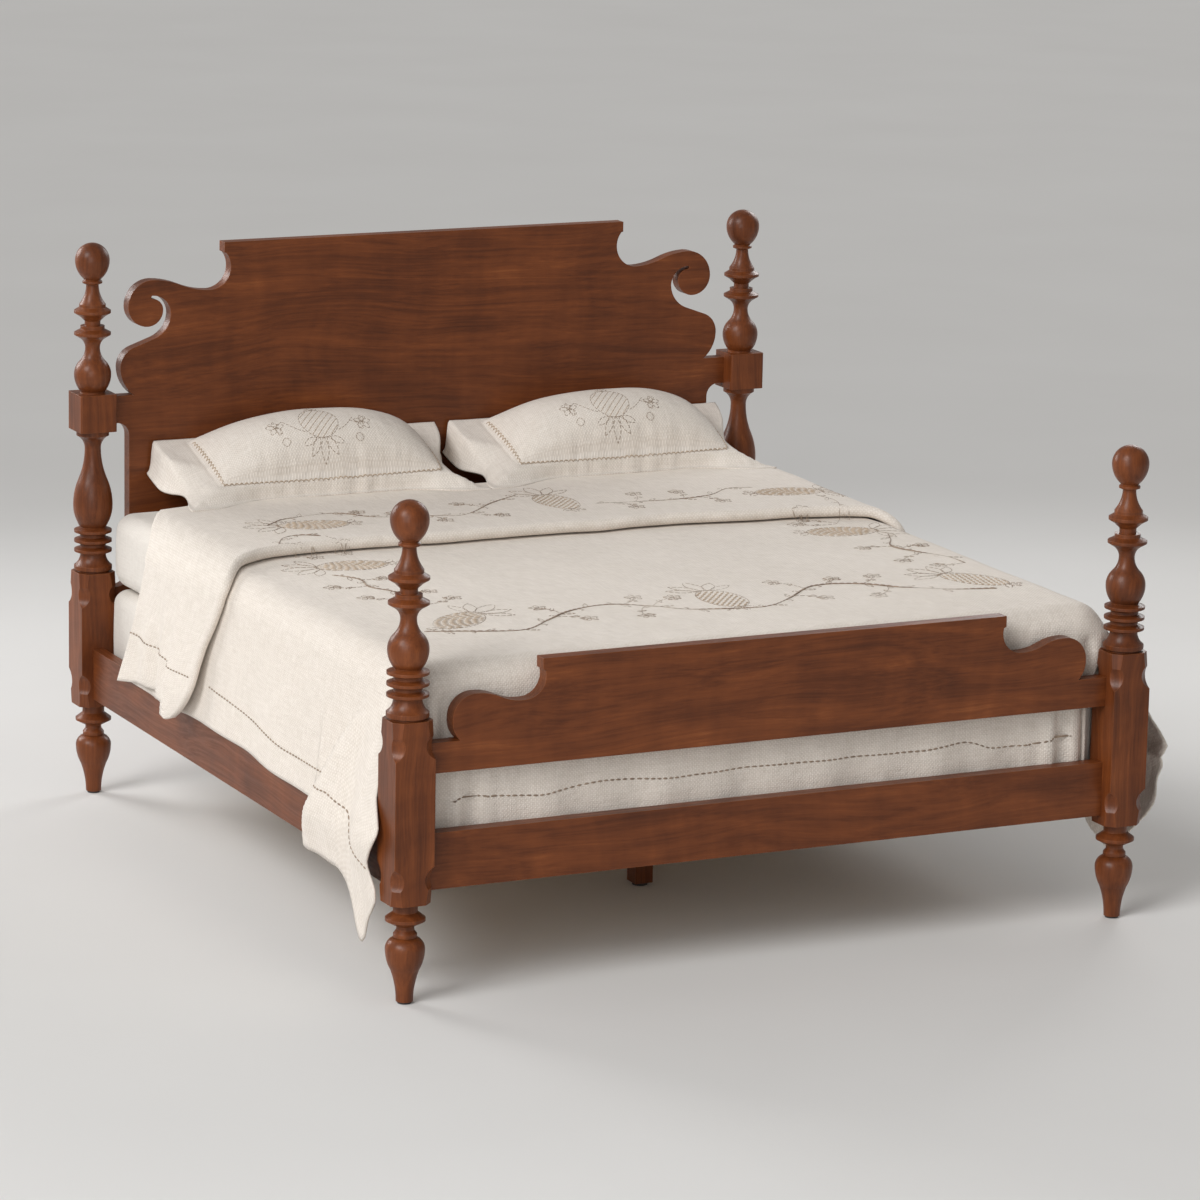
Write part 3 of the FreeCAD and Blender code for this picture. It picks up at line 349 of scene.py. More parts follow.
def linen(name, pitch, low, high, crease):
    """Plain-woven linen: uneven threads, slubs both ways, soft creases, a faint bloom, and painted shade in
    the hollows of the weave.
    """
    fixed = {"Roughness": 0.88, "Specular IOR Level": 0.22, "Sheen Weight": 0.12, "Sheen Roughness": 0.5}
    shader = Shader(name, fixed)
    flat = shader.place("UV")
    threads = shader.stray(flat, (55.0, 55.0, 55.0), 2.0, pitch * 0.7)
    weave = weave_height(shader, threads, pitch)
    slub_across = shader.noise(flat, (18.0, 0.62 / pitch, 1.0), detail=3.0, rough=0.65)
    slub_along = shader.noise(flat, (0.62 / pitch, 18.0, 1.0), detail=3.0, rough=0.65)
    slubs = shader.math("ADD", slub_across, slub_along)
    clouds = shader.noise(flat, (2.4, 2.4, 1.0), detail=3.0)
    # The weave darkens the colour between the threads: painted shade in the hollows of the weave, mixed with
    # the threads' own uneven tone.
    tone = shader.weigh((weave, 0.55), (slubs, 0.5), (clouds, 0.25))
    colour = shader.ramp(shader.share(tone, 0.38, 1.15), (0.0, low), (1.0, high))
    creases = shader.noise(flat, (14.0, 14.0, 1.0), detail=4.0, rough=0.55)
    folds = shader.bump(creases, crease)
    height = shader.weigh((weave, 1.0), (slubs, 0.8))
    return shader.finish(Base_Color=colour, Normal=shader.bump(height, 0.0010, folds))


def thread(name, low, high):
    """Twisted embroidery cotton with a dull shine."""
    fixed = {"Roughness": 0.62, "Specular IOR Level": 0.3, "Sheen Weight": 0.15}
    shader = Shader(name, fixed)
    place = shader.place()
    twist = shader.noise(place, (700.0, 700.0, 700.0), detail=2.0)
    fade = shader.noise(place, (26.0, 26.0, 26.0), detail=2.0)
    tone = shader.weigh((twist, 0.45), (fade, 0.55))
    colour = shader.ramp(shader.share(tone, 0.34, 0.66), (0.0, low), (1.0, high))
    return shader.finish(Base_Color=colour, Normal=shader.bump(twist, 0.0004))


def zinc_steel():
    """Rolled and zinc-plated steel: long faint brush lines and cloudy spangle."""
    shader = Shader("zinc_steel", {"Metallic": 1.0})
    place = shader.place()
    brush = shader.noise(place, (40.0, 40.0, 900.0), detail=3.0)
    spangle = shader.add("TexVoronoi", {"Vector": place, "Scale": 160.0}).outputs["Distance"]
    tone = shader.weigh((brush, 0.6), (spangle, 0.4))
    colour = shader.ramp(tone, (0.2, (0.36, 0.37, 0.38)), (0.8, (0.62, 0.63, 0.63)))
    rough = shader.share(tone, -0.6, 1.2)
    return shader.finish(Base_Color=colour, Roughness=rough, Normal=shader.bump(brush, 0.0001))


def moulded_plastic():
    """Dark moulded nylon with a fine spark-eroded grain."""
    shader = Shader("moulded_plastic", {"Specular IOR Level": 0.4})
    place = shader.place()
    grain = shader.noise(place, (900.0, 900.0, 900.0), detail=2.0)
    scuffs = shader.noise(place, (60.0, 60.0, 60.0), detail=4.0, rough=0.7)
    colour = shader.ramp(scuffs, (0.35, (0.028, 0.024, 0.022)), (0.8, (0.075, 0.066, 0.060)))
    rough = shader.share(scuffs, -0.3, 1.3)
    return shader.finish(Base_Color=colour, Roughness=rough, Normal=shader.bump(grain, 0.0002))


def floor_paint():
    """A plain pale studio floor with the faintest clouding."""
    shader = Shader("studio_floor", {"Roughness": 0.9, "Specular IOR Level": 0.1})
    place = shader.place()
    clouds = shader.noise(place, (0.9, 0.9, 0.9), detail=3.0)
    colour = shader.ramp(clouds, (0.2, (0.745, 0.735, 0.720)), (0.8, (0.775, 0.767, 0.753)))
    return shader.finish(Base_Color=colour)


HARDWOOD_STOPS = (
    (0.0, (0.052, 0.0128, 0.0032)),
    (0.38, (0.124, 0.0310, 0.0070)),
    (0.66, (0.194, 0.0515, 0.0120)),
    (1.0, (0.312, 0.0960, 0.0250)),
)
SLAT_STOPS = (
    (0.0, (0.330, 0.205, 0.110)),
    (0.5, (0.520, 0.370, 0.225)),
    (1.0, (0.640, 0.490, 0.325)),
)


def finish_frame():
    """Gives every rigid node its material, with the grain along the piece."""
    upright = wood("hardwood_upright", "z", HARDWOOD_STOPS, (0.35, 0.20), 0.30)
    crosswise = wood("hardwood_crosswise", "x", HARDWOOD_STOPS, (0.30, 0.10), 0.30)
    lengthwise = wood("hardwood_lengthwise", "y", HARDWOOD_STOPS, (0.20, 0.10), 0.30)
    slat = wood("slat_wood", "x", SLAT_STOPS, (0.15, 0.05), 0.0)
    beam = wood("beam_wood", "y", SLAT_STOPS, (0.12, 0.05), 0.0)
    steel = zinc_steel()
    plastic = moulded_plastic()
    starts = {
        "post_glide": plastic, "leg_leveller": plastic, "post": upright, "centre_leg": upright,
        "headboard": crosswise, "footboard": crosswise, "head_rail": crosswise, "foot_rail": crosswise,
        "side_rail": lengthwise, "ledger": lengthwise, "slat_": slat, "centre_beam": beam,
        "hook_plate": steel, "slot_plate": steel, "beam_bracket": steel,
    }
    for name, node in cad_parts.items():
        for start, material in starts.items():
            if name.startswith(start):
                for place in node.material_slots:
                    place.material = material
                break


# The coverlet: one cloth, given by a place across it, a place along it and a height above the mattress

# Heights of the hems, read by the place along the bed
side_hem = curve((-0.60, 0.386), (-0.40, 0.388), (-0.11, 0.398), (0.28, 0.405), (0.45, 0.392), (0.84, 0.398))
flap_hem = curve(
    (-1.03, 0.270), (-1.00, 0.190), (-0.945, 0.118), (-0.856, 0.193), (-0.83, 0.240), (-0.80, 0.272),
    (-0.70, 0.278), (-0.55, 0.280), blur=0.011,
)
band_hem = curve(
    (0.20, 0.402), (0.25, 0.390), (0.285, 0.378), (0.325, 0.380), (0.345, 0.395), (0.36, 0.412),
    (0.57, 0.420), (0.68, 0.402), (0.76, 0.390), (0.84, 0.386), blur=0.007,
)

# Places along the bed, read by height: where the flap folds, its front edge and the band's front edge
flap_fold = curve(
    (0.10, -0.560), (0.28, -0.582), (0.355, -0.600), (0.445, -0.650), (0.568, -0.716), (0.698, -0.826),
    (0.80, -0.920), (0.86, -0.975),
)
flap_front = curve(
    (0.10, -0.950), (0.15, -0.958), (0.21, -1.000), (0.25, -1.034), (0.28, -1.036), (0.30, -1.025),
    (0.335, -1.004), (0.39, -1.045), (0.43, -1.064), (0.50, -1.012), (0.86, -1.012), blur=0.008,
)
band_side_edge = curve(
    (0.36, 0.355), (0.375, 0.325), (0.385, 0.285), (0.402, 0.245), (0.44, 0.205), (0.48, 0.188),
    (0.532, 0.180), (0.592, 0.162), (0.67, 0.120), (0.756, 0.082), (0.79, 0.080), (0.82, 0.120), blur=0.012,
)

# The band's front edge, read across the bed, and how far the right flap stands out, read by height
band_top_edge = curve(
    (-1.0, 0.090), (-0.926, 0.150), (-0.86, 0.205), (-0.75, 0.233), (-0.59, 0.243), (-0.27, 0.233),
    (-0.06, 0.238), (0.20, 0.226), (0.30, 0.238), (0.56, 0.204), (0.77, 0.187), (0.92, 0.138), (1.0, 0.090),
    blur=0.06,
)
right_flare = curve(
    (0.10, 0.025), (0.162, 0.030), (0.246, 0.050), (0.29, 0.076), (0.336, 0.086), (0.376, 0.078),
    (0.408, 0.058), (0.431, 0.084), (0.472, 0.082), (0.52, 0.070), (0.60, 0.030), (0.68, 0.0), blur=0.010,
)


def main_hem(y):
    """The height of the long hem beside the bed, down to the point of the corner flap."""
    flap = ease(y, FLAP_START + 0.006, FLAP_START - 0.008)
    return side_hem(y) * (1.0 - flap) + flap_hem(y) * flap


def hang_out(side, y, z):
    """How far the hanging side stands out from the shoulder, with its flap and slow waves."""
    fall = np.clip((SHOULDER_FOOT - z) / LEAN_HEIGHT, 0.0, 1.0)
    edge = flap_fold(z)
    flap = ease(y, edge + 0.008, edge - 0.018)
    bulge = 0.010 * hill(y, edge - 0.05, 0.035)
    dip = 0.024 * hill(y, -0.85, 0.050)
    shape = (FLAP_OUT + bulge - dip) * (1.0 - 0.45 * ease(z, 0.42, 0.20))
    flare = np.where(side > 0, right_flare(z) * ease(y, -0.84, -1.0), 0.0)
    waves = 0.0055 * np.sin(8.5 * y + 1.4 * side) + 0.0035 * np.sin(19.0 * y - 0.6 * side)
    return SIDE_LEAN * fall + flap * shape * fall ** 0.85 + (1.0 - flap) * fall * waves + flap * flare


def band_waves(side, y, z):
    """The pleats that gather in the turned-down end towards the head."""
    fall = np.clip((SHOULDER_FOOT - z) / 0.26, 0.0, 1.0)
    gather = ease(y, 0.375, 0.47)
    pleats = 0.011 * np.sin(y * 36.0 + np.sin(y * 13.0) + 0.8 * side)
    pleats += 0.003 * np.sin(y * 23.0 + side)
    lobe = 0.022 * ease(y, 0.385, 0.345) - 0.006 * gather
    return fall ** 1.4 * (gather * pleats + lobe)


def past(across, mark):
    """How far a column of the cloth lies past a mark across it, from 0 to 1."""
    return np.clip(np.abs(across) - mark, 0.0, 1.0)


def cloth_points(across, y, lift, hem, waves=None):
    """Points of the coverlet: across is 0 in the middle, 1 at the shoulder, 2 below it and 3 at the hem."""
    side = np.sign(across)
    reach = np.abs(across)
    turn = past(across, 1.0) * math.pi / 2
    fall = past(across, 2.0)
    radius = SHOULDER_ROUND + lift
    x = np.minimum(reach, 1.0) * SHOULDER_PLACE + radius * np.sin(turn)
    z = SHOULDER_FOOT + radius * np.cos(turn) - fall * (SHOULDER_FOOT - hem)
    x = x + np.where(fall > 0, hang_out(side, y, z), 0.0)
    if waves is not None:
        x = x + np.where(fall > 0, waves(side, y, z), 0.0)
    flat_x = side * (np.minimum(reach, 1.0) * SHOULDER_PLACE + (reach > 1.0) * (reach - 1.0) * 0.2)
    crumple = 0.0035 * ripple(flat_x, y, 3.6, 2.0) + 0.0014 * ripple(flat_x, y, 11.0, 5.0)
    crumple = crumple * (1.0 - 0.35 * past(across, 1.0))
    x = x + np.sin(turn) * crumple
    z = z + np.cos(turn) * crumple
    return joined(side * x, y, z)


def cloth_columns():
    fall = np.linspace(3.0, 2.0, 34)[:-1]
    shoulder = np.linspace(2.0, 1.0, 10)[:-1]
    half = np.concatenate((fall, shoulder, np.linspace(1.0, 0.0, 46)))
    return np.concatenate((-half, half[::-1][1:]))


def foot_drop_rows(across, top):
    """The drop behind the footboard: folds that deepen towards its hem, and corners tucked in below."""
    corner = past(across, 1.0)
    for share in np.linspace(1.0, 0.04, 30):
        row = top.copy()
        row[:, 2] = top[:, 2] - share * (top[:, 2] - FOOT_HEM)
        folds = 0.0050 * np.sin(row[:, 0] * 17.0) + 0.0035 * np.sin(row[:, 0] * 41.0 + 1.0)
        gather = 0.013 * np.sin(row[:, 0] * 88.0) * ease(np.abs(row[:, 0]), 0.68, 0.86)
        tuck = corner * ease(share, 0.10, 0.55)
        row[:, 0] -= np.sign(row[:, 0]) * tuck * 0.098
        row[:, 1] += tuck * 0.012 - share * (0.006 + folds) * (1.0 - corner)
        row[:, 1] -= gather * ease(share, -0.08, 0.18) * (1.0 - 0.7 * corner)
        yield row


def foot_roll_rows(across):
    """The cloth turning down over the mattress's edge at the foot."""
    corner = past(across, 1.0)
    radius = FOOT_ROUND + CLOTH_LIFT
    start = FOOT_PLANE + radius
    for turn in np.linspace(math.pi / 2, 0.0, 9)[:-1]:
        over = start - radius * math.sin(turn)
        beside = start + (FOOT_SIDE_END - start) * turn / (math.pi / 2)
        y = over * (1.0 - corner) + beside * corner
        hem = main_hem(y)
        height = SHOULDER_FOOT - past(across, 2.0) * (SHOULDER_FOOT - hem)
        y = y + corner * (turn / (math.pi / 2)) ** 2 * (flap_front(height) - FOOT_SIDE_END)
        row = cloth_points(across, y, CLOTH_LIFT, hem)
        row[:, 2] -= radius * (1.0 - math.cos(turn)) * np.cos(corner * math.pi / 2)
        yield row


def head_fold(across):
    """Where the cloth folds back at the head: forward at the shoulders, and back again down the sides."""
    return HEAD_FOLD - 0.185 * ease(np.abs(across), 0.72, 1.75) + 0.130 * past(across, 2.0)


def main_rows(across):
    """The cloth on top and down both sides, from the foot's edge to the fold at the head."""
    start = FOOT_PLANE + FOOT_ROUND + CLOTH_LIFT
    pull = head_fold(across) / HEAD_FOLD
    for y in spread(start, (-0.68, 0.015), (-0.54, 0.006), (HEAD_FOLD, 0.017)):
        along = y * pull if y > 0 else np.full_like(across, y)
        yield cloth_points(across, along, CLOTH_LIFT, main_hem(along))


def band_shape(across):
    """For each column of the turned-down end: its front edge, height above the mattress and edge roll."""
    reach = np.abs(across)
    turn = past(across, 1.0) * math.pi / 2
    fall = past(across, 2.0)
    height = SHOULDER_FOOT + SHOULDER_ROUND * np.cos(turn) - fall * (SHOULDER_FOOT - 0.366)
    x = np.sign(across) * (np.minimum(reach, 1.0) * SHOULDER_PLACE + SHOULDER_ROUND * np.sin(turn))
    side = ease(reach, 1.0, 1.8)
    edge = band_side_edge(height) * side + band_top_edge(x) * (1.0 - side)
    aside = ease(reach, 0.9, 2.3)
    lift = BAND_LIFT + (BAND_SIDE_LIFT - BAND_LIFT) * aside
    roll = BAND_ROLL + (BAND_SIDE_ROLL - BAND_ROLL) * aside
    return edge, lift, roll


def head_fold_rows(across):
    """The half turn at the head, where the cloth folds back over itself."""
    lift = band_shape(across)[1]
    radius = (lift - CLOTH_LIFT) / 2
    for turn in np.linspace(0.0, math.pi, 8)[1:-1]:
        y = head_fold(across) + radius * math.sin(turn)
        share = (1.0 - math.cos(turn)) / 2
        hem = main_hem(y) * (1.0 - share) + band_hem(y) * share
        height = CLOTH_LIFT + radius * (1.0 - math.cos(turn))

        def part_waves(*place, part=share):
            return part * band_waves(*place)

        yield cloth_points(across, y, height, hem, part_waves)


def band_rows(across):
    """The turned-down end, its rolled front edge and the hem tucked under it."""
    edge, lift, roll = band_shape(across)
    fold = head_fold(across)
    for share in np.linspace(0.0, 1.0, 72):
        y = fold + share * (edge + roll - fold)
        yield cloth_points(across, y, lift, band_hem(y), band_waves)
    for turn in np.linspace(0.0, math.pi, 9)[1:]:
        y = edge + roll * (1.0 - math.sin(turn))
        height = lift - roll * (1.0 - math.cos(turn))
        yield cloth_points(across, y, height, band_hem(y), band_waves)
    for tuck in (0.02, 0.045, 0.075):
        y = edge + roll + tuck
        yield cloth_points(across, y, lift - 2 * roll, band_hem(y), band_waves)


def without_drop_sides(rows, drop_rows, inside):
    """The faces of the cloth where its foot drop has no hanging sides, and which points they use."""
    columns = len(inside)
    keep = np.ones((rows - 1, columns - 1), dtype=bool)
    keep[:drop_rows] = inside[:-1] & inside[1:]
    used = np.ones((rows, columns), dtype=bool)
    used[:drop_rows, ~inside] = False
    number = np.cumsum(used.ravel()) - 1
    faces = [tuple(int(number[i]) for i in face) for face in grid_faces(rows, columns, keep)]
    return faces, used


def make_coverlet(material):
    across = cloth_columns()
    roll = list(foot_roll_rows(across))
    drop = list(foot_drop_rows(across, roll[0]))
    points = np.array([*drop, *roll, *main_rows(across), *head_fold_rows(across), *band_rows(across)])
    faces, used = without_drop_sides(len(points), len(drop), np.abs(across) <= 2.0)
    # Places on the flat cloth, measured along a plain row of its main part and down its middle
    plain_row = len(drop) + 60
    u = lengths_along(points[plain_row])
    v = lengths_along(points[:, len(across) // 2])
    uvs = joined(u[None, :], v[:, None])[used]
    made = new_object("coverlet_linen", points[used], faces, material, uvs)
    solid = made.modifiers.new("thickness", "SOLIDIFY")
    solid.thickness = CLOTH_THICKNESS
    solid.offset = 0.0
    place_piece(made)
    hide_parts("coverlet")
    return made


# Threads: domed strips laid on a finished surface


def strip(points, normals, width, height):
    """The points and faces of one stroke of thread, thin at its ends."""
    points = np.asarray(points)
    normals = np.asarray(normals)
    ahead = np.gradient(points, axis=0)
    ahead /= np.linalg.norm(ahead, axis=1, keepdims=True) + 1e-12
    beside = np.cross(ahead, normals)
    beside /= np.linalg.norm(beside, axis=1, keepdims=True) + 1e-12
    count = len(points)
    swell = 0.35 + 0.65 * np.sin(np.linspace(0.0, math.pi, count))
    half = (swell * width / 2)[:, None]
    rise = (swell * height)[:, None]
    ring = (
        points - beside * half - normals * THREAD_SINK,
        points - beside * half * 0.6 + normals * rise,
        points + beside * half * 0.6 + normals * rise,
        points + beside * half - normals * THREAD_SINK,
    )
    corners = np.stack(ring, axis=1).reshape(-1, 3)
    faces = []
    for step in range(count - 1):
        first = step * 4
        for edge in range(4):
            after = (edge + 1) % 4
            faces.append((first + edge, first + after, first + 4 + after, first + 4 + edge))
    faces.append((3, 2, 1, 0))
    last = (count - 1) * 4
    faces.append((last, last + 1, last + 2, last + 3))
    return corners, faces


def thread_object(name, strokes, material, width, vary=0.2):
    """One object of many strokes, each (points, normals). vary makes some thicker than others."""
    corners = []
    faces = []
    start = 0
    for points, normals in strokes:
        scale = max(0.35, 1.0 + vary * noise.noise(Vector(points[0]) * 8.0))
        stroke_corners, stroke_faces = strip(points, normals, width * scale, THREAD_HEIGHT * scale)
        corners.append(stroke_corners)
        faces.extend(tuple(start + i for i in face) for face in stroke_faces)
        start += len(stroke_corners)
    made = new_object(name, np.concatenate(corners), faces, material)
    return place_piece(made)


def facing(normal, way):
    """The normal, turned to the side that a direction points to."""
    return normal if normal.dot(way) >= 0 else -normal


def laid(surface, points, way):
    """Drops points on a surface along a direction. Gives places and normals, or None if one misses."""
    places = []
    normals = []
    for point in points:
        hit, normal, _, _ = surface.ray_cast(Vector(point) - way * DROP_FROM, way)
        if hit is None:
            return None
        places.append(hit)
        normals.append(facing(normal, -way))
    return np.array(places), np.array(normals)


def dashes(surface, line, length, gap):
    """Cuts a line that runs along a surface into short stitches."""
    even = resample(line, HEM_STEP)
    step = max(2, round(length / HEM_STEP))
    skip = max(1, round(gap / HEM_STEP))
    strokes = []
    for start in range(0, len(even) - step, step + skip):
        places = []
        normals = []
        for point in even[start:start + step + 1:2]:
            hit, normal, _, _ = surface.find_nearest(Vector(point))
            places.append(hit)
            normals.append(facing(normal, Vector(point) - hit))
        strokes.append((np.array(places), np.array(normals)))
    return strokes


# Heights of the stitched lines, read along the bed, and across it for the foot drop
side_stitch = curve((-0.60, 0.462), (-0.369, 0.462), (-0.17, 0.480), (0.035, 0.498), (0.30, 0.512))
flap_stitch = curve(
    (-1.02, 0.318), (-0.945, 0.338), (-0.885, 0.365), (-0.845, 0.425), (-0.745, 0.448), (-0.58, 0.448),
    blur=0.012,
)
band_stitch = curve((0.17, 0.524), (0.34, 0.519), (0.42, 0.530), (0.60, 0.534), (0.83, 0.536))
foot_stitch = curve(
    (-0.90, 0.470), (-0.80, 0.485), (-0.62, 0.470), (-0.45, 0.490), (-0.25, 0.479), (0.0, 0.486),
    (0.184, 0.483), (0.434, 0.482), (0.569, 0.493), (0.638, 0.468), (0.749, 0.468), (0.852, 0.486),
    (0.90, 0.470),
)


def side_line(side, places, height, hem, lift, waves=None):
    """A line of points on the outside of the hanging side, at given heights."""
    places = np.asarray(places)
    fall = (SHOULDER_FOOT - height(places)) / (SHOULDER_FOOT - hem(places))
    return cloth_points(side * (2.0 + fall), places, lift + CLOTH_THICKNESS, hem(places), waves)


def hem_stitches(coverlet, material):
    """The dashed drawn-thread lines above the hems of the coverlet."""
    surface = surface_of(coverlet)
    lines = []
    for side in (-1.0, 1.0):
        lines.append(side_line(side, spread(0.16, (-0.615, 0.01)), side_stitch, main_hem, CLOTH_LIFT))
        lines.append(side_line(side, spread(-0.665, (-1.005, 0.01)), flap_stitch, main_hem, CLOTH_LIFT))
        band_places = spread(0.205, (0.73, 0.01))
        lines.append(side_line(side, band_places, band_stitch, band_hem, BAND_SIDE_LIFT, band_waves))
    across = np.linspace(-0.87, 0.87, 140)
    lines.append(joined(across, FOOT_PLANE - 0.03, foot_stitch(across)))
    strokes = [stroke for line in lines for stroke in dashes(surface, line, 0.013, 0.005)]
    return thread_object("hem_stitches", strokes, material, 0.0054)


# Embroidery: pineapples on a leafy, wandering vine, drawn in a flat plane and then laid on the cloth


def arc_line(start, end, bow, count=9):
    """A bowed line between two points, with bow as a share of its length."""
    start = np.asarray(start, dtype=float)
    end = np.asarray(end, dtype=float)
    ahead = end - start
    beside = np.array((-ahead[1], ahead[0]))
    share = np.linspace(0.0, 1.0, count)[:, None]
    return start + ahead * share + beside * bow * 4.0 * share * (1.0 - share)


def leaf(root, angle, length, fat=0.16):
    """A leaf's two bowed edges."""
    root = np.asarray(root, dtype=float)
    tip = root + length * np.array((math.cos(angle), math.sin(angle)))
    return [arc_line(root, tip, fat), arc_line(root, tip, -fat)]


def inside_lines(half_length, half_width, slant, spacing):
    """Even slanted lines that fill an oval."""
    across = np.array((math.cos(slant), math.sin(slant)))
    ahead = np.array((-math.sin(slant), math.cos(slant)))
    size = np.array((half_length, half_width))
    reach = np.linalg.norm(ahead * size)
    lines = []
    for offset in np.arange(-reach + spacing / 2, reach, spacing):
        start, way = ahead * offset / size, across / size
        a, b, c = way @ way, start @ way, start @ start - 0.92
        if b * b > a * c:
            room = math.sqrt(b * b - a * c)
            lines.append([ahead * offset + across * (-b + sign * room) / a for sign in (-1.0, 1.0)])
    return lines


def pineapple(length, width):
    """Strokes of one fruit with its crown ahead: the skin's slanted rows, then outline and leaves."""
    half = length * 0.36
    girth = width / 2
    angle = np.linspace(0.0, 2 * math.pi, 41)
    rows = inside_lines(half, girth, -0.75, width * 0.125)
    outline = [joined(np.cos(angle) * half, np.sin(angle) * girth)]
    for share in np.linspace(-1.0, 1.0, 5):
        reach = length * (0.40 - 0.10 * abs(share))
        outline.extend(leaf((half * 0.97, girth * 0.35 * share), share * 1.15, reach, 0.18))
    for share in (-1.0, 0.0, 1.0):
        outline.extend(leaf((-half * 0.97, 0.0), math.pi - share * 0.9, length * 0.17, 0.2))
    return rows, outline


def cut_up(strokes, stitch, gap):
    """Cuts strokes into short stitches with gaps between."""
    step = round(stitch / STITCH_STEP)
    skip = round(gap / STITCH_STEP)
    pieces = []
    for stroke in strokes:
        even = resample(stroke, STITCH_STEP)
        starts = range(0, max(1, len(even) - step // 2), step + skip)
        pieces.extend(even[start:start + step + 1] for start in starts)
    return [piece for piece in pieces if len(piece) > 1]


def turned(strokes, centre, angle):
    spin = np.array(((math.cos(angle), math.sin(angle)), (-math.sin(angle), math.cos(angle))))
    return [np.asarray(stroke) @ spin + np.asarray(centre) for stroke in strokes]


def vine(points, tips):
    """A wandering stem through points, with a spray of leaves and a small flower head at each tip."""
    even = resample(smooth_line(points), VINE_STEP)
    sprays = []
    for number, tip in enumerate(np.asarray(tips, dtype=float)):
        root = even[np.argmin(np.linalg.norm(even - tip + (0.03, 0.0), axis=1))]
        side = 1.0 if number % 2 else -1.0
        sprays.append(arc_line(root, tip, 0.10 * side))
        sprays.extend(flower(tip, 0.026))
        ahead = math.atan2(*(tip - root)[::-1])
        for share in (0.45, 0.75):
            sprays.extend(leaf(root + (tip - root) * share, ahead + side * 0.9, 0.034))
            side = -side
    for index in range(8, len(even) - 8, 17):
        heading = math.atan2(*(even[index + 1] - even[index - 1])[::-1])
        side = 1.0 if index % 2 else -1.0
        sprays.extend(leaf(even[index], heading + side * 0.8, 0.038))
        sprays.append(curl(even[index - 5], heading - side * 0.8, -side, 0.038))
    return even, sprays


def flower(centre, radius):
    """Five loop petals round a centre."""
    strokes = []
    for petal in range(5):
        angle = petal * 2 * math.pi / 5 + 0.3
        strokes.extend(leaf(centre, angle, radius, 0.3))
    return strokes


def curl(root, heading, side, length):
    """A tendril that winds up at its end."""
    share = np.linspace(0.0, 1.0, 16)
    turn = heading + side * 4.2 * share ** 1.6
    step = length / 15 * (1.15 - 0.6 * share)
    places = np.cumsum(joined(np.cos(turn), np.sin(turn)) * step[:, None], axis=0)
    return np.asarray(root) + places


def smooth_line(points, count=14):
    """A rounded line through points."""
    points = np.asarray(points, dtype=float)
    padded = np.concatenate((2 * points[:1] - points[1:2], points, 2 * points[-1:] - points[-2:-1]))
    pieces = []
    for i in range(1, len(padded) - 2):
        a, b, c, d = padded[i - 1:i + 3]
        t = np.linspace(0.0, 1.0, count, endpoint=False)[:, None]
        pieces.append(0.5 * (2 * b + (c - a) * t + (2 * a - 5 * b + 4 * c - d) * t ** 2
                             + (3 * b - a - 3 * c + d) * t ** 3))
    return np.concatenate(pieces + [points[-1:]])


# Fruits as (across, along, way of the crown), and vines as their stem and the tips of their sprays
FRUITS = (
    (0.080, -0.612, 1.62), (-0.640, 0.085, 3.10), (0.765, 0.020, -0.20), (-0.645, -0.600, 0.70),
    (0.800, -0.640, 2.15), (0.135, 0.490, 1.58), (-0.600, 0.440, 3.05), (0.800, 0.395, -0.10),
)
VINES = (
    (
        ((-0.774, -0.676), (-0.679, -0.712), (-0.540, -0.751), (-0.438, -0.675), (-0.352, -0.606),
         (-0.223, -0.562), (-0.121, -0.616), (-0.063, -0.680), (0.040, -0.719), (0.145, -0.731),
         (0.243, -0.669), (0.369, -0.558), (0.493, -0.575), (0.583, -0.662), (0.709, -0.735),
         (0.800, -0.755)),
        ((-0.403, -0.542), (-0.329, -0.689), (-0.123, -0.515), (-0.030, -0.551), (-0.184, -0.717),
         (0.337, -0.690), (0.288, -0.483), (0.456, -0.500), (0.570, -0.510), (0.477, -0.715)),
    ),
    (
        ((-0.735, -0.005), (-0.690, -0.080), (-0.700, -0.170), (-0.660, -0.260), (-0.690, -0.350),
         (-0.650, -0.430)),
        ((-0.619, -0.081), (-0.790, -0.138), (-0.578, -0.265), (-0.760, -0.284), (-0.556, -0.365)),
    ),
    (
        ((0.870, -0.050), (0.840, -0.120), (0.800, -0.200), (0.830, -0.290), (0.875, -0.370),
         (0.880, -0.460)),
        ((0.717, -0.190), (0.879, -0.216), (0.738, -0.370), (0.800, -0.450)),
    ),
    (
        ((-0.725, 0.465), (-0.647, 0.530), (-0.501, 0.555), (-0.410, 0.466), (-0.258, 0.426),
         (-0.172, 0.411), (-0.036, 0.535), (0.070, 0.610)),
        ((-0.430, 0.545), (-0.340, 0.500), (-0.129, 0.560), (-0.252, 0.360), (-0.081, 0.370)),
    ),
    (
        ((0.230, 0.438), (0.420, 0.407), (0.562, 0.422), (0.660, 0.490), (0.740, 0.480)),
        ((0.381, 0.510), (0.314, 0.353), (0.507, 0.500), (0.573, 0.344)),
    ),
    (
        ((-0.784, 0.238), (-0.743, 0.305), (-0.690, 0.320), (-0.630, 0.290)),
        ((-0.600, 0.230), (-0.690, 0.210)),
    ),
    (
        ((0.850, 0.330), (0.866, 0.250), (0.840, 0.170), (0.800, 0.110)),
        ((0.730, 0.185), (0.690, 0.140)),
    ),
)


def embroider(name, surface, strokes, to_world, way, material, width, spacing=0.007, vary=0.2):
    """Lays flat strokes on a surface as one object of thread."""
    laid_strokes = []
    for stroke in strokes:
        found = laid(surface, [to_world(a, b) for a, b in resample(stroke, spacing)], way)
        if found is not None:
            laid_strokes.append(found)
    return thread_object(name, laid_strokes, material, width, vary)


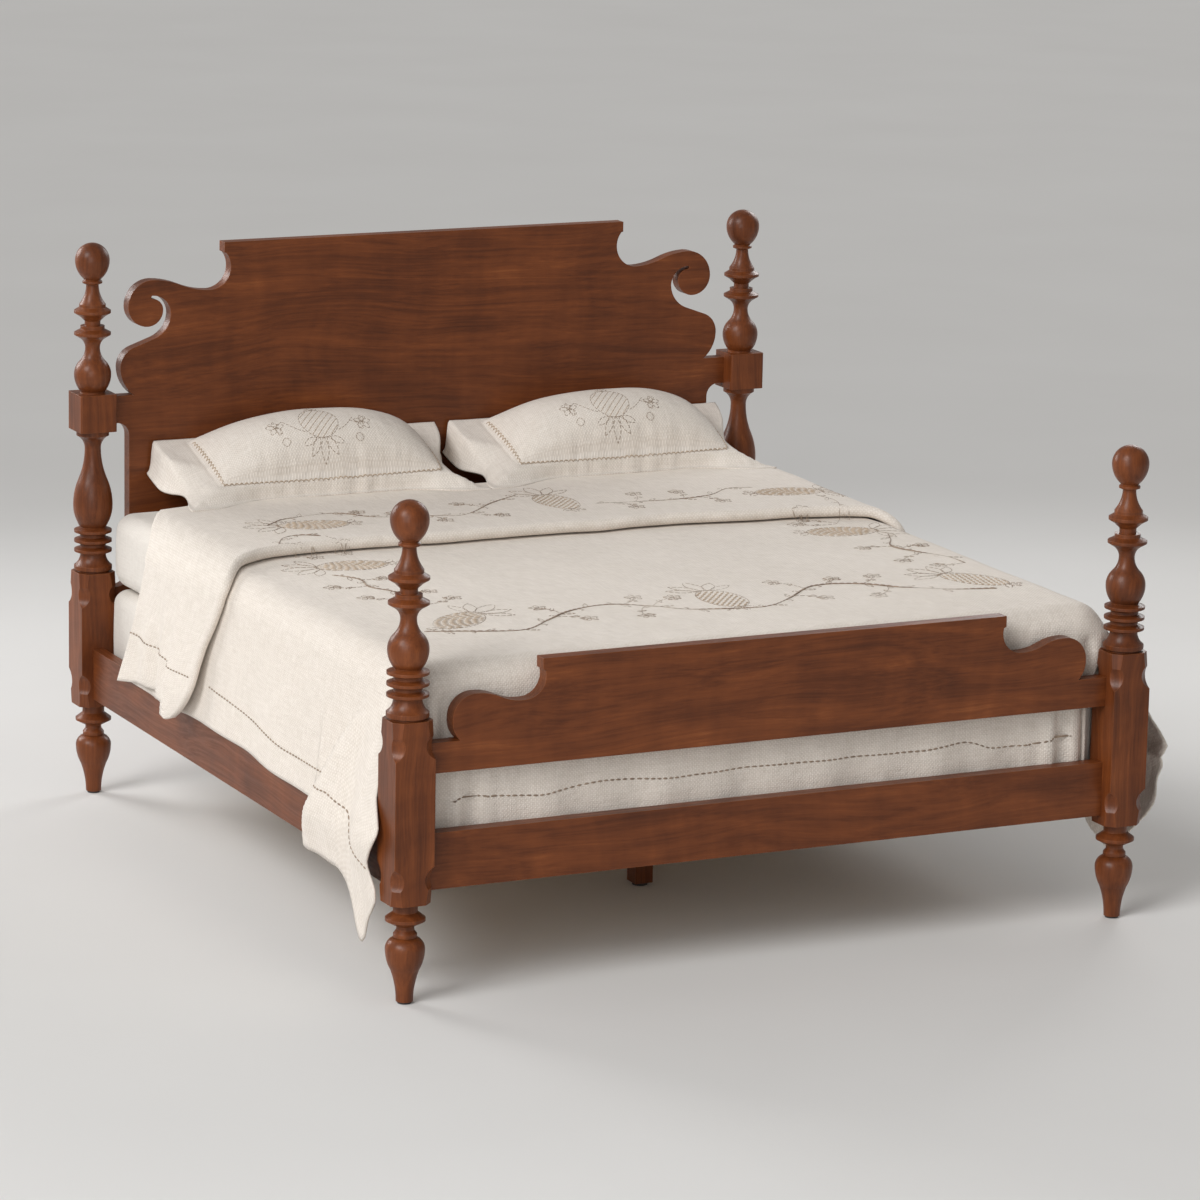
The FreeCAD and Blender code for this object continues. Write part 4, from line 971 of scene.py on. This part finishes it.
def coverlet_embroidery(coverlet, dark, tan, gold):
    surface = surface_of(coverlet)
    stems = []
    stitches = []
    fills = []
    for x, y, angle in FRUITS:
        rows, outline = pineapple(0.27, 0.112)
        fills.extend(turned(cut_up(rows, 0.018, 0.002), (x, y), angle))
        stitches.extend(turned(cut_up(outline, 0.011, 0.004), (x, y), angle))
    for points, tips in VINES:
        stem, sprays = vine(points, tips)
        stems.extend(stem[i:i + 5] for i in range(0, len(stem) - 4, 3))
        stitches.extend(cut_up(sprays, 0.012, 0.003))

    def to_world(a, b):
        return (a, b, CLOTH_BASE)

    down = Vector((0.0, 0.0, -1.0))
    return [
        embroider("coverlet_stem_threads", surface, stems, to_world, down, dark, 0.0037, vary=1.5),
        embroider("coverlet_motif_threads", surface, stitches, to_world, down, tan, 0.0054, vary=0.5),
        embroider("coverlet_fruit_threads", surface, fills, to_world, down, gold, 0.0082),
    ]


# Pillows: a sewn body inside a wide flange, leaning on the headboard


def pillow_dome(a, b):
    """How full the sewn body is, from 0 at its seam to 1 in the middle. b runs back from the front seam."""
    side = np.abs(a) / PILLOW_HALF_WIDTH
    end = np.abs(2.0 * b / PILLOW_DEPTH - 1.0)
    return np.clip(1.0 - side ** 2.6, 0.0, 1.0) ** 0.70 * np.clip(1.0 - end ** 2.2, 0.0, 1.0) ** 0.58


def puckers(a, seed):
    """Uneven gathers along the seam at the pillow's front."""
    along = np.zeros_like(a)
    strength = 0.5 + 0.9 * ripple(a, along, 8.0, seed + 2.0)
    return strength * np.sin(a * 98.0 + 4.5 * ripple(a, along, 6.0, seed)) * hill(a, 0.02, 0.22)


def pillow_heights(a, b, seed):
    """The upper and lower surface of the body above the plane of its seam."""
    dome = pillow_dome(a, b)
    front = hill(b, 0.012, 0.022)
    pucker = 0.0042 * puckers(a, seed) * front
    crinkle = 0.0030 * ripple(a * 2.2, b, 24.0, seed + 1.0) * front
    dent = 0.007 * ripple(a, b, 6.0, seed + 3.0) * dome
    edge = np.maximum(np.abs(a) - PILLOW_HALF_WIDTH, np.abs(b - PILLOW_DEPTH / 2) - PILLOW_DEPTH / 2)
    groove = -0.003 * hill(edge, 0.0, 0.006)
    upper = PILLOW_CROWN * dome + pucker + crinkle + dent + groove + 0.0025
    lower = -PILLOW_BELLY * dome - 0.0025
    return upper, lower


def pillow_flange(a, b, seed):
    """How the flange is bent: how far it is drawn in sideways, carried forward and let down."""
    side = np.clip((np.abs(a) - PILLOW_HALF_WIDTH) / PILLOW_SIDE_FLANGE, 0.0, 1.0)
    front = np.clip(-b / PILLOW_FRONT_FLANGE, 0.0, 1.0)
    back = ease(b, 0.06, 0.20)
    curl = ease(side, 0.62, 1.0)
    waist = 0.28 * hill(b, 0.065, 0.080)
    # The flange is narrower on the right, which leaves a gap between the two pillows
    narrow = 0.42 * (a > 0) * hill(b, 0.110, 0.120)
    bend = (0.16 * (1.0 - back) + waist) * side ** 2 + 0.20 * curl * back
    draw = PILLOW_SIDE_FLANGE * (bend + narrow * side)
    hang = 0.056 * side ** 1.2 * (1.0 - back) + (0.086 * curl - 0.012 * np.sin(math.pi * side)) * back
    pucker = 0.005 * puckers(a, seed) * ease(front, 0.0, 0.5)
    fall = 0.050 * ease(front, 0.0, 0.85) + 0.4 * pucker
    wave = 0.004 * ripple(a, b, 14.0, seed + 7.0) * ease(side + front, 0.1, 0.6)
    corner = ease(np.abs(a), 0.20, PILLOW_HALF_WIDTH + 0.06)
    forward = front * (0.008 + 0.070 * corner) + 0.6 * pucker
    return draw, forward, np.maximum(hang, fall) + wave


def pillow_point(middle, a, b, c):
    """A place given across, along and above the plane of the seam, on the bed."""
    y = PILLOW_SEAM_FRONT[0] + b * math.cos(PILLOW_TILT) - c * math.sin(PILLOW_TILT)
    z = PILLOW_SEAM_FRONT[1] + b * math.sin(PILLOW_TILT) + c * math.cos(PILLOW_TILT)
    return joined(middle + a, y, z)


def settle(points, gap):
    """Keeps a pillow off the bedding under it and the headboard behind it."""
    ground = np.where(points[..., 1] < HEAD_FOLD + 0.02, CLOTH_BASE + BAND_LIFT + 0.001, CLOTH_BASE + 0.001)
    points[..., 2] = np.maximum(points[..., 2], ground + gap)
    points[..., 1] = np.minimum(points[..., 1], headboard_front - 0.003)
    return points


def pillow_grid():
    """Places across a pillow, and places along it from the front edge of its flange to the back."""
    step = 0.008
    a = spread(-PILLOW_REACH, (-PILLOW_HALF_WIDTH, step), (PILLOW_HALF_WIDTH, step), (PILLOW_REACH, step))
    back = PILLOW_DEPTH + PILLOW_BACK_FLANGE
    b = spread(-PILLOW_FRONT_FLANGE, (0.0, step), (PILLOW_DEPTH, 0.007), (back, 0.006))
    return a[None, :], b[:, None]


def pillow_layers(middle, a, b, seed):
    """The upper and the lower side of a pillow, as points on the bed."""
    draw, forward, fall = pillow_flange(a, b, seed)
    pinch = 0.010 * (1.0 - (a / PILLOW_REACH) ** 2) * ease(b, 0.5 * PILLOW_DEPTH, 0.0)
    across = a - np.sign(a) * draw
    along = np.maximum(b, 0.0) + pinch
    layers = []
    for height, gap in zip(pillow_heights(a, b, seed), (0.004, 0.0005)):
        layer = pillow_point(middle, across, along, height)
        layer[..., 1] -= forward
        layer[..., 2] -= fall
        layers.append(settle(layer, gap))
    return layers


def shell_faces(rows, columns):
    """The faces of two grids, one above the other, with a wall round their rims."""
    count = rows * columns
    over = grid_faces(rows, columns)
    under = [tuple(count + i for i in reversed(face)) for face in over]
    rim = rim_loop(rows, columns)
    walls = [(i, count + i, count + j, j) for i, j in zip(rim, rim[1:] + rim[:1])]
    return over + under + walls


def make_pillow(name, middle, seed, material):
    a, b = pillow_grid()
    layers = pillow_layers(middle, a, b, seed)
    points = np.concatenate([layer.reshape(-1, 3) for layer in layers])
    uvs = np.concatenate([joined(a, b).reshape(-1, 2)] * 2)
    made = new_object(name + "_linen", points, shell_faces(b.size, a.size), material, uvs)
    place_piece(made)
    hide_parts(name)
    return made


def rim_loop(rows, columns):
    """The points round the edge of a grid, in order."""
    last = (rows - 1) * columns
    front = list(range(columns))
    right = [row * columns + columns - 1 for row in range(1, rows)]
    back = list(range(last + columns - 2, last - 1, -1))
    left = [row * columns for row in range(rows - 2, 0, -1)]
    return front + right + back + left


def pillow_border():
    """Scallops along the seam of the body, at its front and up both sides."""
    inset = 0.004
    side = PILLOW_HALF_WIDTH - inset
    back = PILLOW_DEPTH * 0.85
    line = resample([(-side, back), (-side, inset), (side, inset), (side, back)], 0.0145)
    return [arc_line(start, end, 0.38, 7) for start, end in zip(line, line[1:])]


def pillow_motif():
    """Strokes of a fruit's rows, and of its outline with a spray and a bud on each side."""
    rows, outline = pineapple(0.150, 0.112)
    centre = (0.0, 0.142)
    forward = -math.pi / 2
    fills = turned(cut_up(rows, 0.012, 0.002), centre, forward)
    motif = turned(cut_up(outline, 0.008, 0.003), centre, forward)
    for side in (-1.0, 1.0):
        stem_points = [(side * 0.050, 0.108), (side * 0.075, 0.122), (side * 0.104, 0.152)]
        stem, sprays = vine(stem_points, [(side * 0.128, 0.132)])
        bud = [arc_line((side * 0.096, 0.085), (side * 0.120, 0.085), bow) for bow in (0.5, -0.5)]
        motif += cut_up([stem, *sprays], 0.008, 0.003) + cut_up(bud, 0.006, 0.002)
    return [turned(strokes, (PILLOW_MOTIF_SHIFT, 0.0), 0.0) for strokes in (fills, motif)]


def pillow_threads(name, made, middle, tan, gold):
    """The scalloped border, and the motif on the front slope."""
    surface = surface_of(made)
    fills, motif = pillow_motif()
    slope = Vector((0.0, 0.8, 0.6))

    def to_world(a, b):
        return (middle + a, PILLOW_SEAM_FRONT[0] + b * slope.y, PILLOW_SEAM_FRONT[1] + b * slope.z)

    way = Vector((0.0, slope.z, -slope.y))
    embroider(name + "_border_threads", surface, pillow_border(), to_world, way, gold, 0.0034, 0.0035)
    embroider(name + "_motif_threads", surface, motif, to_world, way, tan, 0.0052)
    embroider(name + "_fruit_threads", surface, fills, to_world, way, gold, 0.0066)


# Mattress and box spring: padded blocks in a plain white cover


def padded_block(name, low, high, roll, seam_heights, material):
    """A block with rounded edges, soft sides with slow vertical folds, and sewn lines round it."""
    steps = []
    for start, end in zip(low, high):
        steps.append(spread(start, (start + roll, roll / 6), (end - roll, 0.045), (end, roll / 6)))
    points, faces = block_shell(*steps)
    inner_low = np.array(low) + roll
    inner_high = np.array(high) - roll
    core = np.clip(points, inner_low, inner_high)
    away = points - core
    length = np.linalg.norm(away, axis=1, keepdims=True)
    outward = away / np.maximum(length, 1e-9)
    around = points[:, 0] + points[:, 1]
    folds = 0.0050 * ripple(around, points[:, 2] * 0.25, 9.0, 4.0)
    folds += 0.0018 * ripple(around, points[:, 2], 22.0, 8.0)
    seams = sum(hill(points[:, 2], height, 0.006) for height in seam_heights)
    level = np.abs(outward[:, 2])
    depth = roll - 0.003 + folds * (1.0 - level ** 2) - 0.0035 * seams * (1.0 - level)
    rounded = core + outward * np.where(length > 1e-9, depth[:, None], 0.0)
    made = new_object(name + "_cover", rounded, faces, material)
    map_by_side(made.data)
    place_piece(made)
    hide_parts(name)
    return made


def map_by_side(mesh):
    """Gives each face of a block its flat places on the side that it looks to."""
    layer = mesh.uv_layers.new(name="cloth")
    for face in mesh.polygons:
        ahead = max(range(3), key=lambda axis: abs(face.normal[axis]))
        first, second = (axis for axis in range(3) if axis != ahead)
        for corner in face.loop_indices:
            place = mesh.vertices[mesh.loops[corner].vertex_index].co
            layer.data[corner].uv = (place[first], place[second])


def block_shell(xs, ys, zs):
    """The outer skin of a block, as points on a grid and the faces between them."""
    numbers = {}
    points = []
    faces = []

    def number(i, j, k):
        if (i, j, k) not in numbers:
            numbers[i, j, k] = len(points)
            points.append((xs[i], ys[j], zs[k]))
        return numbers[i, j, k]

    def side(first, second, corner, flip):
        for i in range(first - 1):
            for j in range(second - 1):
                ring = [corner(i, j), corner(i + 1, j), corner(i + 1, j + 1), corner(i, j + 1)]
                faces.append(tuple(number(*place) for place in (ring[::-1] if flip else ring)))

    nx, ny, nz = len(xs), len(ys), len(zs)
    for end, flip in ((0, True), (nz - 1, False)):
        side(nx, ny, lambda i, j, k=end: (i, j, k), flip)
    for end, flip in ((0, False), (ny - 1, True)):
        side(nx, nz, lambda i, j, k=end: (i, k, j), flip)
    for end, flip in ((0, True), (nx - 1, False)):
        side(ny, nz, lambda i, j, k=end: (k, i, j), flip)
    return np.array(points), faces


# Studio


def make_floor():
    half = 60.0
    rise = -0.0005
    count = 25
    steps = np.linspace(-half, half, count)
    points = [(x, y, rise) for y in steps for x in steps]
    made = new_object("studio_floor", points, grid_faces(count, count), floor_paint())


def area_light(name, place, aim, size, brightness, beam=180.0):
    """A square soft light that gives a facing white surface the stated brightness at its aim."""
    energy = brightness * math.pi ** 2 * (Vector(aim) - Vector(place)).length_squared
    add_light(name, "AREA", place, aim, shape="SQUARE", size=size, spread=math.radians(beam), energy=energy)


def far_light(name, place, aim, spread_angle, brightness):
    """A broad light from far away, so that the floor is lit evenly."""
    add_light(name, "SUN", place, aim, angle=math.radians(spread_angle), energy=brightness * math.pi)


def add_light(name, kind, place, aim, **settings):
    """A light at a place, turned to what it is aimed at."""
    lamp = bpy.data.lights.new(name, kind)
    for setting, value in settings.items():
        setattr(lamp, setting, value)
    made = bpy.data.objects.new(name, lamp)
    made.location = place
    made.rotation_euler = (Vector(aim) - Vector(place)).to_track_quat("-Z", "Y").to_euler()
    bpy.context.scene.collection.objects.link(made)


def make_lights():
    world = bpy.data.worlds.new("studio")
    world.use_nodes = True
    background = world.node_tree.nodes["Background"].inputs
    background["Color"].default_value = (1.0, 0.985, 0.965, 1.0)
    background["Strength"].default_value = 0.30
    bpy.context.scene.world = world
    middle = (0.0, 0.0, 0.7)
    far_light("key", (-5.6, -2.4, 5.4), middle, 28.0, 0.52)
    area_light("panel_left", (-4.2, -4.6, 2.6), (0.0, 0.8, 1.0), 3.2, 0.19)
    area_light("rim_left", (-3.2, 5.2, 3.0), (-0.5, 1.0, 1.0), 2.4, 0.15, 90.0)
    area_light("rim_right", (4.6, 3.6, 3.4), (0.6, 0.0, 0.8), 2.4, 0.08, 90.0)
    bpy.context.scene.view_settings.view_transform = "Standard"


def make_camera():
    lens = bpy.data.cameras.new("camera")
    lens.lens = CAMERA_LENS
    lens.sensor_width = CAMERA_SENSOR
    lens.clip_end = 200.0
    made = bpy.data.objects.new("camera", lens)
    level = math.cos(CAMERA_RISE)
    back = Vector((math.sin(CAMERA_TURN) * level, -math.cos(CAMERA_TURN) * level, math.sin(CAMERA_RISE)))
    right = (-back).cross(Vector((0.0, 0.0, 1.0))).normalized()
    up = right.cross(-back)
    rolled_right = right * math.cos(CAMERA_ROLL) + up * math.sin(CAMERA_ROLL)
    rolled_up = up * math.cos(CAMERA_ROLL) - right * math.sin(CAMERA_ROLL)
    axes = Matrix((rolled_right, rolled_up, back)).transposed()
    made.matrix_world = Matrix.Translation(CAMERA_TARGET + back * CAMERA_DISTANCE) @ axes.to_4x4()
    bpy.context.scene.collection.objects.link(made)
    bpy.context.scene.camera = made


def make_bedding():
    cloth = linen("linen_cloth", 0.0050, (0.62, 0.548, 0.468), (0.90, 0.832, 0.762), 0.006)
    pillow_cloth = linen("linen_pillow", 0.0043, (0.64, 0.570, 0.490), (0.91, 0.846, 0.778), 0.006)
    ticking = linen("white_cover", 0.0034, (0.64, 0.588, 0.530), (0.82, 0.772, 0.714), 0.004)
    dark = thread("thread_dark", (0.165, 0.108, 0.073), (0.430, 0.330, 0.245))
    tan = thread("thread_tan", (0.232, 0.168, 0.120), (0.400, 0.306, 0.226))
    gold = thread("thread_gold", (0.385, 0.290, 0.205), (0.590, 0.470, 0.355))
    padded_block("box_spring", spring_low, spring_high, 0.045, (spring_low.z + 0.02,), ticking)
    padded_block("mattress", mattress_low, mattress_high, 0.056, (mattress_low.z + 0.03,), ticking)
    coverlet = make_coverlet(cloth)
    on_cloth = [hem_stitches(coverlet, tan), *coverlet_embroidery(coverlet, dark, tan, gold)]
    for seed, (name, middle) in enumerate(PILLOWS.items()):
        made = make_pillow(name, middle, 11.0 + 20.0 * seed, pillow_cloth)
        pillow_threads(name, made, middle, tan, gold)


finish_frame()
make_bedding()
make_floor()
make_lights()
make_camera()
bpy.context.view_layer.update()
